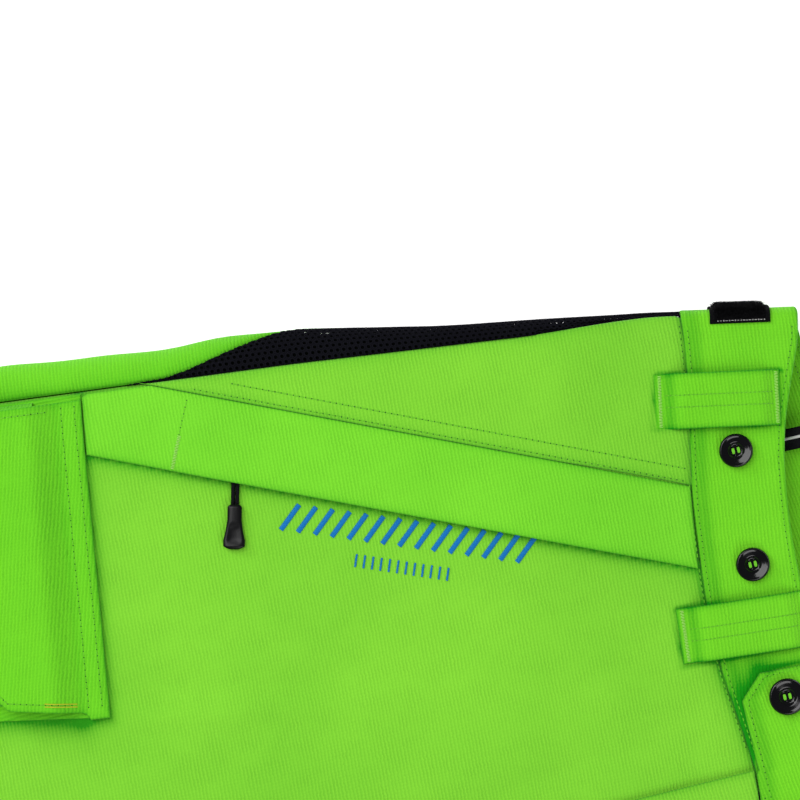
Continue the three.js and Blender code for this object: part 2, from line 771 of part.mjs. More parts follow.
const THIGH_ACROSS = [0, 0.05, 0.1, 0.18, 0.6, 1];
function thighPatch({ inwards, down, low, high, columns, side }) {
  return onFront({
    at: (u, v) => {
      const depth = down(v);
      const [near, far] = inwards(depth);
      return thighAt(THREE.MathUtils.lerp(near, far, u), depth);
    },
    low,
    high,
    rows: THIGH_ACROSS,
    columns,
    side,
  });
}
const pocketSpan = (inset) => (down) => [
  POCKET_INSET + inset,
  POCKET_WIDTH - POCKET_TAPER * down - inset,
];

/** Backing, stitched band, bellows and front of the pocket, open towards the waist under the flap. */
function thighPocket(side) {
  const backTop = FIT + POCKET_CLOTH;
  const overlap = 0.6; // depth to which the joined layers sink into each other
  const layer = (inset, from, to, low, high) =>
    thighPatch({
      inwards: pocketSpan(inset),
      down: (v) => THREE.MathUtils.lerp(from, to, v),
      low: () => low,
      high: () => high,
      columns: steps(4),
      side,
    });
  const end = POCKET_END - overlap;
  const wall = overlap + POCKET_CLOTH;
  const backing = layer(0, 0, POCKET_END, FIT, backTop);
  const band = layer(overlap, overlap, FLAP_BAND, backTop - overlap, backTop + POCKET_CLOTH);
  const block = layer(overlap, POCKET_MOUTH, end, backTop - overlap, POCKET_TOP);
  const inside = layer(wall, POCKET_MOUTH - 5, POCKET_END - wall, backTop, POCKET_TOP - POCKET_CLOTH);
  return joined(backing, band, cut(block, inside));
}

const flapSpan = (down) => {
  const past = Math.max(0, down - (FLAP_BAND + FLAP_LENGTH - FLAP_CHAMFER));
  return [FLAP_INSET + past, FLAP_WIDTH - FLAP_TAPER * (down - FLAP_BAND) - past];
};

function thighFlap(side) {
  const start = FIT + POCKET_CLOTH + FIT;
  const end = HINGE_DOWN + FLAP_LENGTH;
  const rise = (v) => {
    const climbed = THREE.MathUtils.smoothstep(v * FLAP_LENGTH, 0, FLAP_RISE);
    return start + (FLAP_LOW - start) * climbed;
  };
  return thighPatch({
    inwards: flapSpan,
    down: (v) => THREE.MathUtils.lerp(HINGE_DOWN, end, v),
    low: (u, v) => rise(v),
    high: (u, v) => rise(v) + POCKET_CLOTH,
    columns: steps(5),
    side,
  });
}

/** A hook or loop tape across the pocket, under the flap's free edge. */
function closureTape(side, low) {
  const end = HINGE_DOWN + FLAP_LENGTH - TAPE_BACK;
  const middle = (FLAP_INSET + FLAP_WIDTH) / 2 - 4;
  return thighPatch({
    inwards: () => [middle - TAPE_LENGTH / 2, middle + TAPE_LENGTH / 2],
    down: (v) => end - TAPE_WIDTH + v * TAPE_WIDTH,
    low: () => low,
    high: () => low + TAPE_THICK,
    columns: steps(3),
    side,
  });
}

// ---- Fly ------------------------------------------------------------------------------------
/** The left front's facing over the fly zip, with a rounded lower end. */
function flyCover() {
  const lift = (v) => FIT + FLY_COVER_LIFT * THREE.MathUtils.smoothstep(v, 0.02, 0.2);
  return onFront({
    at: (u, v) => {
      const y = THREE.MathUtils.lerp(-FLY_COVER_WIDTH, FLY_COVER_LAP, v);
      const low = -FLY_LENGTH - 12 + FLY_COVER_CURVE * (1 - v) ** 2;
      return [THREE.MathUtils.lerp(low, frontSeamX(Math.abs(y)) - SEAM_GAP, u), y];
    },
    low: (u, v) => lift(v),
    high: (u, v) => lift(v) + COVER_THICK,
    rows: steps(12),
    columns: steps(10),
  });
}

// ---- Back and ankles ------------------------------------------------------------------------
function rearPocket() {
  const { length, width, x, y } = REAR_POCKET;
  return box(length, width, BACK_LAYER, x, y, BACK_LAYER / 2);
}

/** An abrasion patch round the inner ankle. */
function anklePatch(side) {
  const aways = [1, EDGE_WIDTH / ANKLE_PATCH_REACH, 0.25, 0.12].map((t) => t * ANKLE_PATCH_REACH);
  const row = (x, lift) => {
    const seam = inseamY(x);
    const front = aways.map((away) => [seam + away, frontZ(x, seam + away) + lift]);
    const bend = steps(6).map((t) => {
      const [, y, z] = halfEllipse(0, innerBulge(x), x, Math.PI * t, lift);
      return [seam - y, z];
    });
    const under = [seam + ANKLE_PATCH_REACH, groundZ(x) - lift];
    return [...front, ...bend, under].map(([y, z]) => [x, y * side, z]);
  };
  const stations = steps(2).map((t) => HEM_X + HOOK_TAB_PAST + t * ANKLE_PATCH_LENGTH);
  const grid = (lift) => stations.map((x) => row(x, lift));
  return sheet(grid(FIT + BACK_LAYER), grid(FIT));
}

/** A webbing tab on the hem that holds the lace hook. */
function hookTab(side) {
  return onFront({
    at: (u, v) => {
      const x = HEM_X - HOOK_TAB_PAST + u * HOOK_TAB_LENGTH;
      return [x, HOOK_Y + (v - 0.5) * (HOOK_WIDTH - 2 * HOOK_WIRE_R - 2 * FIT)];
    },
    low: () => FIT,
    high: (u) => FIT + (u < 0.01 ? 1.6 : 1.2),
    rows: steps(6),
    columns: steps(1),
    side,
  });
}

/** A wire lace hook: a frame that turns on the tab's end, with a hooked tip. Its axis is at z 0. */
function laceHook() {
  const half = HOOK_WIDTH / 2;
  const points = [
    [0, -half, 0],
    [0, half, 0],
  ];
  const bar = new THREE.CatmullRomCurve3(points.map((p) => new THREE.Vector3(...p)));
  const tip = new THREE.CatmullRomCurve3(
    [
      [0, half - 0.2, 0],
      [0.6 * -HOOK_REACH, half - 0.2, 0],
      [1.5 - HOOK_REACH, half - 2, 0.4],
      [-HOOK_REACH, 0, 1.4],
      [1.5 - HOOK_REACH, -half + 2, 0.4],
      [0.6 * -HOOK_REACH, -half + 0.2, 0],
      [0, -half + 0.2, 0],
    ].map((p) => new THREE.Vector3(...p)),
  );
  const ring = new THREE.Shape();
  ring.absarc(0, 0, HOOK_WIRE_R, 0, 2 * Math.PI);
  const wire = (path, count) =>
    new THREE.ExtrudeGeometry(ring, { steps: count, curveSegments: 2, extrudePath: path });
  return joined(wire(bar, 1), wire(tip, 16));
}

/** The hanging loop inside the back of the waistband, arched clear of the band. */
function hangerLoop() {
  const base = groundZ(WAIST_SIDE_X) + BAND_THICK - BAND_PROUD + FIT;
  const arch = (t) => HANGER_RISE * Math.sin(Math.PI * t);
  const grid = (lift) =>
    steps(8).map((t) =>
      HANGER_Y.map((y) => [THREE.MathUtils.lerp(...HANGER_X, t), y, base + arch(t) + lift]),
    );
  return sheet(grid(HANGER_THICK), grid(0));
}

// ---- Assembly -------------------------------------------------------------------------------
const HOOK_X = HEM_X - HOOK_TAB_PAST - HOOK_WIRE_R - FIT; // axis that the lace hook turns on
for (const [side, word] of [
  [1, "right"],
  [-1, "left"],
]) {
  add("front_leg_" + word, cut(frontPanel(side), pocketMouth(side)), lime);
  add("back_leg_" + word, backPanel(side), lime);
  add("vent_panel_" + word, ventPanel(side), blackMesh);
  for (let k = 0; k < PACK_COUNT; k++) {
    const depth = PACK_DEPTH + k * (PACK_THICK + FIT);
    const pack = innerLayer(side, HEM_X + PACK_HEM, PACK_TOP_X, depth, PACK_THICK);
    add(["cut_pack_outer_", "cut_pack_inner_"][k] + word, pack, paleFelt);
  }
  const liningDepth = PACK_DEPTH + PACK_COUNT * (PACK_THICK + FIT);
  const lining = innerLayer(side, HEM_X + HEM_TURN, LINING_TOP_X, liningDepth, LINING);
  add("lining_" + word, lining, limeLining);
  add("waist_patch_" + word, waistPatch(side), blackPile);
  FRONT_LOOPS.forEach((loop, k) =>
    add(`belt_loop_${word}_${k + 1}`, frontLoop(loop, side), lime),
  );
  BRACE_BUTTONS.forEach(([x, y], k) =>
    placeButton(`brace_button_${word}_${k + 1}`, [x, y * side], BAND_PROUD + 0.3, BUTTON_SHANK),
  );

  add("pocket_cover_" + word, pocketCover(side), lime);
  add("pocket_bag_" + word, pocketBag(side), bagCloth);
  const [zipX, zipY] = pocketAt(ZIP_MIDDLE, POCKET_ZIP_INSET);
  const { frame, carriage } = zipFrame(zipX, zipY * side, pocketTurn * side, SLIDER_REST - ZIP_MIDDLE);
  add("pocket_zip_tape_" + word, zipTape(POCKET_ZIP_LENGTH), blackCloth, frame);
  add("pocket_zip_slider_" + word, zipSlider(), darkMetal, carriage);
  const pull = new THREE.Group();
  pull.rotation.z = (THREE.MathUtils.degToRad(PULL_ANGLE) - pocketTurn) * side;
  pull.position.z = CORD_Z;
  carriage.add(pull);
  add("pull_cord_" + word, pullCord(), blackCloth, pull);
  const grip = add("pull_grip_" + word, pullGrip(), blackPlastic, pull);
  grip.position.set(PULL_CORD + 2.4, 0, GRIP_THICK / 2 - PULL_CORD_R);

  add("thigh_pocket_" + word, thighPocket(side), lime);
  add("thigh_flap_" + word, thighFlap(side), lime);
  add("flap_hook_tape_" + word, closureTape(side, POCKET_TOP + TAPE_THICK + 2 * FIT), blackPile);
  add("pocket_loop_tape_" + word, closureTape(side, POCKET_TOP + FIT), blackPile);

  add("ankle_patch_" + word, anklePatch(side), blackCloth);
  add("hook_tab_" + word, hookTab(side), blackCloth);
  const hook = add("lace_hook_" + word, laceHook(), darkMetal);
  hook.position.set(HOOK_X, HOOK_Y * side, frontZ(HEM_X, HOOK_Y) + 1);
}
add("waistband_right", rightBand(), lime);
add("waistband_left", leftBand(), lime);
add("waistband_back", backBand(), lime);
BACK_LOOP_Y.forEach((y, k) => add(`belt_loop_back_${k + 1}`, backLoop(y), lime));
placeButton("waist_button", WAIST_BUTTON, BAND_PROUD + 0.3, BAND_THICK + FIT + 0.6);
add("fly_cover", flyCover(), lime);
const fly = zipFrame(-FLY_LENGTH / 2, FLY_ZIP_Y, 0, FLY_LENGTH / 2 - FLY_SLIDER_REST);
add("fly_zip_tape", zipTape(FLY_LENGTH - ZIP_STOP), blackCloth, fly.frame);
add("fly_zip_slider", zipSlider(), darkMetal, fly.carriage);
add("rear_pocket", rearPocket(), lime);
add("hanger_loop", hangerLoop(), blackCloth);

// The origin is on the ground, under the middle of the whole garment.
const LOW_X = HOOK_X - HOOK_REACH - HOOK_WIRE_R;
trousers.position.x = -(LOW_X + WAIST_TOP_X) / 2;

export default trousers;
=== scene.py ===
"""Chainsaw trousers laid face up: the looks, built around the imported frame.

Sizes are in millimetres. In the garment's own plan, x runs towards the waist from the front waist
seam at the centre front, y runs to the wearer's right and z is up. The left half is the right half
mirrored, so its pieces are worked out on the right and their y is turned over at the end.
"""

import logging
import math
from dataclasses import dataclass, field
from enum import Enum
from typing import Callable, Sequence

import bpy
import numpy as np
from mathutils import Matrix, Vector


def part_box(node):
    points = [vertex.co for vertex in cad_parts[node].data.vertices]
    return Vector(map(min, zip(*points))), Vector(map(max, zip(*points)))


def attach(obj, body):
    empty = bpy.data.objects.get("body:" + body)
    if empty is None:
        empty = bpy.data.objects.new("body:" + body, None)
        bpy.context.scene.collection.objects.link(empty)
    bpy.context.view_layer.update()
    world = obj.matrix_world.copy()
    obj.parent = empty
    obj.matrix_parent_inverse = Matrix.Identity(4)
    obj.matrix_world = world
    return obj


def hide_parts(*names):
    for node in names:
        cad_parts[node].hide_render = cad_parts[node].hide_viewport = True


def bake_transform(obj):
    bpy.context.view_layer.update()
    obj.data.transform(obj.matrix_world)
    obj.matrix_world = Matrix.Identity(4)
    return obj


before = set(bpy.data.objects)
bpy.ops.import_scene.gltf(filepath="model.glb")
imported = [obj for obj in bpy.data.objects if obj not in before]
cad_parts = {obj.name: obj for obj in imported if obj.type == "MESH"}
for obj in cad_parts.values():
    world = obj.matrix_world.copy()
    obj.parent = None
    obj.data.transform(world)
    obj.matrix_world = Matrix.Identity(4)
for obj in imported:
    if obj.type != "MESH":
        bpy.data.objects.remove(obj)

log = logging.getLogger("trousers")

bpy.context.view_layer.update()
MM = 0.001
WAIST_TOP = 88.0  # top of the back waistband at the centre, in the garment's plan
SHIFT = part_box("waistband_back")[1].x / MM - WAIST_TOP
Array = np.ndarray
Pair = tuple[float, float]
Host = Callable[[Array, Array, Array], Array]


class Side(Enum):
    """The wearer's right or left."""

    RIGHT = 1
    LEFT = -1

    @property
    def word(self) -> str:
        """The side's name in node names."""
        return self.name.lower()


@dataclass(frozen=True)
class Line:
    """A line through knots whose corners are rounded by averaging it over a short span.

    The value at t is the mean of the straight-line interpolation at t - r, t - r/2, t, t + r/2 and
    t + r, where r is the rounding.
    """

    knots: tuple["Pair", ...]
    rounding: float = 12.0

    def __call__(self, t: Array | float) -> Array:
        """Returns the line's value at each t."""
        at, value = zip(*self.knots)
        spans = np.array([-1.0, -0.5, 0.0, 0.5, 1.0]) * self.rounding
        return np.mean([np.interp(np.asarray(t) + span, at, value) for span in spans], axis=0)


def smoothstep(t: Array, low: float, high: float) -> Array:
    """Returns 0 below low, 1 above high, and 3s^2 - 2s^3 between them."""
    s = np.clip((np.asarray(t, float) - low) / (high - low), 0, 1)
    return s * s * (3 - 2 * s)


def bell(t: Array, middle: float, width: float, power: int = 2) -> Array:
    """Returns exp(-((t - middle) / width)^power)."""
    return np.exp(-(((t - middle) / width) ** power))


def heading(degrees: float) -> Pair:
    """Returns the cosine and the sine of an angle."""
    return math.cos(math.radians(degrees)), math.sin(math.radians(degrees))


def placed(at: Pair, ahead: Pair, a: Array, b: Array) -> tuple[Array, Array]:
    """Turns places along and across a heading into x and y."""
    return at[0] + a * ahead[0] - b * ahead[1], at[1] + a * ahead[1] + b * ahead[0]


def measured(at: Pair, ahead: Pair, x: Array, y: Array) -> tuple[Array, Array]:
    """Turns x and y into places along and across a heading, the reverse of placed()."""
    away_x, away_y = x - at[0], y - at[1]
    return away_x * ahead[0] + away_y * ahead[1], away_y * ahead[0] - away_x * ahead[1]


def pair(x: Array | float, y: Array | float) -> Array:
    """Returns places from their x and y, either of which can be a single number."""
    return np.stack(np.broadcast_arrays(x, y), -1)


@dataclass(frozen=True)
class Fold:
    """A soft ridge in the cloth: a Gaussian across its line, faded out along it."""

    x: float
    y: float
    degrees: float
    length: float
    width: float
    height: float

    def lift(self, x: Array, y: Array) -> Array:
        """Returns height * exp(-(across/width)^2) * exp(-(along/length)^2)."""
        along, across = measured((self.x, self.y), heading(self.degrees), x, y)
        return self.height * np.exp(-((across / self.width) ** 2) - (along / self.length) ** 2)


@dataclass(frozen=True)
class Crease:
    """A line along which one layer meets another: a painted contact shadow that darkens the cloth under it
    near the line.
    """

    places: tuple[Pair, ...]
    reach: float = 2.6
    strength: float = 0.75

    def shade(self, x: Array, y: Array) -> Array:
        """Returns the painted shadow's depth, strength * exp(-distance / reach), where the distance is to the
        nearest of its runs.
        """
        nearest = np.full(np.broadcast(x, y).shape, 1e3)
        for (ax, ay), (bx, by) in zip(self.places, self.places[1:]):
            run_x, run_y = bx - ax, by - ay
            share = np.clip(((x - ax) * run_x + (y - ay) * run_y) / (run_x**2 + run_y**2), 0, 1)
            nearest = np.minimum(nearest, np.hypot(x - ax - share * run_x, y - ay - share * run_y))
        return self.strength * np.exp(-nearest / self.reach)


# Painted contact shadows: round the belt loops, under the cover strip's free edge, along the thigh pocket's
# seam and inner side, and along the waist seam.
LOOP_SHADOWS = (
    Crease(((-4, 205.5), (-11, 179), (50, 166.5), (58, 193), (-4, 205.5)), 0.8, 0.85),
    Crease(((-22, 88.6), (-25, 60), (34, 56), (40, 82), (-22, 88.6)), 0.8, 0.85),
)
PANEL_SHADOWS = (
    *LOOP_SHADOWS,
    Crease(((-290, 232), (-150, 169.7), (-8.6, 106.7)), 2.3, 0.85),
    Crease(((-287, 266), (-298, 180), (-309.5, 101), (-323, 103)), 2.4, 0.6),
    Crease(((-323, 103), (-360, 113), (-400, 121), (-496, 130)), 4.5, 1.0),
    Crease(((16, 231), (9, 189), (-1, 140), (-6, 95), (-8, 58), (0, 0)), 1.6, 0.5),
)
# Painted shadow of the left tab on the right band: wide by its chamfer and inner edge, thin along its end.
TAB_SHADES = (
    Crease(((11.6, 48.6), (0.3, 35.9), (0.3, 10)), 6.0, 1.0),
    Crease(((50, 48.5), (11.6, 48.6)), 1.2, 0.9),
)


@dataclass
class Garment:
    """The trousers' outline, thickness and folds, which every piece lies on."""

    hem: float = -1000.0
    crotch: float = -240.0
    cloth: float = 1.5
    edge_drop: float = 5.0
    edge_width: float = 30.0
    pocket_start: Pair = (-290.0, 232.0)
    pocket_degrees: float = -24.0
    cover_width: float = 40.0
    thickness: Line = Line(((-1000, 30), (-600, 38), (-330, 40), (-245, 38.5), (0, 26), (100, 24)), 6)
    outseam: Line = Line(
        (
            (-1000, 284), (-600, 281), (-450, 276), (-330, 268), (-180, 253), (-60, 239), (0, 231), (71, 217),
            (90, 213.3),
        ),
        6,
    )
    bulge: Line = Line(((-1000, 13), (-600, 16), (-180, 17), (-100, 9), (0, 4.6), (100, 4.6)))
    inseam: Line = Line(((-1000, 78), (-600, 45), (-450, 29), (-330, 16), (-240, 9)), 4)
    vent: Line = Line(
        (
            (-262, 0.3), (-243, 0.8), (-230, 4), (-215, 9), (-197, 16), (-180, 25), (-100, 58), (-60, 70),
            (20, 64),
        ),
        4,
    )
    front_seam: Line = Line(((0, -1), (58, -7), (95, -5.5), (140, -1), (189, 9), (234, 16)), 14)
    front_top: Line = Line(((0, 43), (99, 43), (129, 45), (166, 51), (187, 58), (231, 74.5)), 14)
    back_seam: Line = Line(((0, 34), (120, 30), (200, 20), (234, 16)), 14)
    back_top: Line = Line(((0, 88), (120, 84), (200, 75), (231, 73)), 14)
    folds: tuple[Fold, ...] = (
        Fold(-330, 150, 12, 60, 16, -1.3),
        Fold(-352, 205, -20, 45, 12, 1.0),
        Fold(-300, 60, 35, 70, 20, 1.6),
        Fold(-262, 66, 28, 50, 12, -0.9),
        Fold(-258, 92, -9, 75, 7, 1.1),
        Fold(-254, 103, -9, 75, 9, -1.2),
        Fold(-200, 30, 60, 60, 18, 1.3),
        Fold(-150, 75, 50, 80, 22, -0.9),
        Fold(-60, 60, 80, 60, 16, 0.7),
        Fold(-25, 25, 70, 35, 10, -1.0),
        Fold(-120, 18, 8, 90, 9, -1.6),
        Fold(-30, 205, 70, 28, 11, -0.9),
        Fold(-55, 215, 75, 30, 14, 0.7),
        Fold(-430, 60, 20, 80, 18, 2.4),
        Fold(-470, 120, -15, 90, 22, -2.0),
        Fold(-555, 130, 80, 90, 16, 3.2),
        Fold(-590, 200, 100, 70, 14, -2.6),
        Fold(-620, 120, 75, 80, 15, 2.8),
        Fold(-655, 190, 96, 80, 17, -2.6),
        Fold(-690, 150, 84, 90, 14, 2.3),
        Fold(-780, 120, 30, 90, 22, 2.2),
        Fold(-830, 200, -24, 100, 24, -2.4),
        Fold(-880, 150, 12, 90, 20, 2.0),
        Fold(-935, 210, 40, 60, 18, -1.8),
        Fold(-960, 120, -35, 50, 16, 1.6),
    )

    def pocket(self, along: Array | float, across: Array | float) -> tuple[Array, Array]:
        """Turns places along and across the hand pocket's cover strip into x and y."""
        return placed(self.pocket_start, heading(self.pocket_degrees), along, across)

    def yoke(self, x: Array | float) -> Array:
        """Returns the y of the yoke's seam, which is the cover strip's sewn edge."""
        start_x, start_y = self.pocket(0.0, self.cover_width)
        return start_y + math.tan(math.radians(self.pocket_degrees)) * (np.asarray(x) - start_x)

    def taper(self, y: Array, start: Array | float, end: Array) -> Array:
        """Returns where a y found at one x lies at another, as the garment narrows with its outseam."""
        return y * self.outseam(end) / self.outseam(start)

    def seam_rows(self, x: Array, seam: Array) -> Array:
        """Moves rows above the hip so that the one at 0 lies on a seam: the stretch grows in line with x."""
        return np.where(x > -60, -60 + (x + 60) * (seam + 60) / 60, x)

    def low(self, x: Array) -> Array:
        """Returns the height of the back's outer face."""
        return 1.6 + 1.6 * smoothstep(x, -100, -20)

    def drop(self, away: Array) -> Array:
        """Returns how far the front falls at a distance from a side seam: a parabola to the edge."""
        return self.edge_drop * np.clip(1 - np.clip(away, 0, None) / self.edge_width, 0, 1) ** 2

    def fold(self, x: Array, y: Array) -> Array:
        """Returns the folds' height, which dies out at the seams and under the zip pull's sweep."""
        total = sum(fold.lift(x, y) for fold in self.folds)
        total = total + 0.35 * np.sin(x / 23 + 1.3 * np.sin(y / 41)) * np.sin(y / 31 + 0.8 * np.sin(x / 57))
        at_seams = smoothstep(self.outseam(x) - y, 0, 24)
        at_inseam = np.where(x < self.crotch, smoothstep(y - self.inseam(x), 0, 20), 1)
        at_waist = smoothstep(-4 - x, 0, 30)
        start_x, start_y = self.pocket_start
        below = (y - start_y) - math.tan(math.radians(self.pocket_degrees)) * (x - start_x)
        near_zip = bell(below, -12, 34, 4) * smoothstep(x, -300, -262)
        return total * at_seams * at_inseam * (0.25 + 0.75 * at_waist) * (1 - 0.9 * near_zip)

    def front(self, x: Array, y: Array, lift: Array | float = 0.0) -> Array:
        """Returns points on the front: thickness less the drop at the seams, with folds and a lift."""
        x, y = np.broadcast_arrays(np.asarray(x, float), np.asarray(y, float))
        near = np.abs(y)
        outer = self.drop(self.outseam(x) - near)
        inner = np.where(x < self.crotch, self.drop(near - self.inseam(x)), 0)
        z = self.thickness(x) - np.maximum(outer, inner) + self.fold(x, near)
        return np.stack([x, y, z + lift], -1)

    def _ellipse(self, x: Array, bulge: Array, angle: Array, lift: Array | float) -> tuple[Array, Array]:
        """Returns how far out and how high a point of the side's half ellipse is, lifted along its normal.

        Args:
            x: Where along the garment.
            bulge: The half ellipse's horizontal radius.
            angle: Turn from the front's edge, pi at the back's.
            lift: Height off the surface.

        Returns:
            The distance past the seam and the height.
        """
        low = self.low(x)
        half = (self.thickness(x) - self.edge_drop - low) / 2
        out, up = np.sin(angle) / bulge, np.cos(angle) / half
        size = np.hypot(out, up)
        return bulge * np.sin(angle) + out / size * lift, low + half + half * np.cos(angle) + up / size * lift

    def arc(self, x: Array) -> Array:
        """Returns the length of the side's half ellipse: pi times the root mean square of its radii."""
        half = (self.thickness(x) - self.edge_drop - self.low(x)) / 2
        return math.pi * np.sqrt((self.bulge(x) ** 2 + half**2) / 2)

    def side(self, x: Array, along: Array, lift: Array | float = 0.0) -> Array:
        """Returns points a distance along the cloth from the outseam, round the side and under the back."""
        x, along = np.broadcast_arrays(np.asarray(x, float), np.asarray(along, float))
        arc = self.arc(x)
        out, up = self._ellipse(x, self.bulge(x), math.pi * np.clip(along / arc, 0, 1), lift)
        past = np.clip(along - arc, 0, None)
        return np.stack([x, self.outseam(x) + out - past, up], -1)

    def flare(self, x: Array) -> Array:
        """Returns how far the front's cloth reaches past the outseam, which grows at the waist."""
        return 0.24 * self.arc(x) * smoothstep(x, -70, 0)

    def wrap(self, x: Array, y: Array, lift: Array | float = 0.0) -> Array:
        """Returns points over the front up to the outseam, and round the side past it."""
        past = y - self.outseam(x)
        front = self.front(x, np.minimum(y, self.outseam(x)), lift)
        return np.where((past > 0)[..., None], self.side(x, np.clip(past, 0, None), lift), front)

    def inner(self, x: Array, share: Array, lift: Array | float = 0.0) -> Array:
        """Returns points round the inseam, from the front at share 0 to the back at share 1."""
        x, share = np.broadcast_arrays(np.asarray(x, float), np.asarray(share, float))
        bulge = np.clip(self.inseam(x) - 1, 2, 8)
        out, up = self._ellipse(x, bulge, math.pi * share, lift)
        return np.stack([x, self.inseam(x) - out, up], -1)


G = Garment()


# ---- Meshes -------------------------------------------------------------------------------------
def spread(length: float, spacing: float, edge: float = 1.0) -> Array:
    """Returns places from 0 to 1 along a length, evenly spaced, with more of them near its ends.

    Args:
        length: The length.
        spacing: Distance between two places.
        edge: Radius of the rolled edge at both ends.

    Returns:
        The places.
    """
    near = np.array([0, 0.12, 0.35, 0.65, 1.0]) * edge
    count = max(2, int(round((length - 2 * edge) / spacing)) + 1)
    middle = np.linspace(edge, length - edge, count)[1:-1]
    return np.concatenate([near, middle, length - near[::-1]]) / length


def stations(start: float, length: float, spacing: float, edge: float = 1.0) -> Array:
    """Returns places over a length from a start, spaced as spread() does."""
    return start + length * spread(length, spacing, edge)


def grid(u: Array, v: Array) -> Array:
    """Returns the grid of places over a row of x and a row of y."""
    return pair(u[:, None], v[None, :])


def over(host: Host, plan: Array, lift: Array | float) -> Array:
    """Returns a host's points at the places of a plan, lifted off it."""
    return host(plan[..., 0], plan[..., 1], lift)


def copies(one: Array, count: int, size: int) -> Array:
    """Returns the quads of equal parts, each with a size in points and numbered after the one before."""
    return (one[None] + (np.arange(count) * size)[:, None, None]).reshape(-1, 4)


def node_box(name: str) -> tuple[Array, Array]:
    """Returns a CAD node's lowest and highest corner in the garment's plan."""
    low, high = (np.array(corner / MM) - [SHIFT, 0, 0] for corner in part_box(name))
    return low, high


def grid_quads(rows: int, columns: int, start: int = 0, wrap: bool = False) -> Array:
    """Returns the quads of a grid whose points are numbered row by row.

    Args:
        rows: Rows of points.
        columns: Columns of points.
        start: Number of the first point.
        wrap: Whether the last column is joined to the first.

    Returns:
        Four point numbers for each quad.
    """
    index = np.arange(rows * columns).reshape(rows, columns) + start
    if wrap:
        index = np.concatenate([index, index[:, :1]], 1)
    corners = [index[:-1, :-1], index[1:, :-1], index[1:, 1:], index[:-1, 1:]]
    return np.stack(corners, -1).reshape(-1, 4)


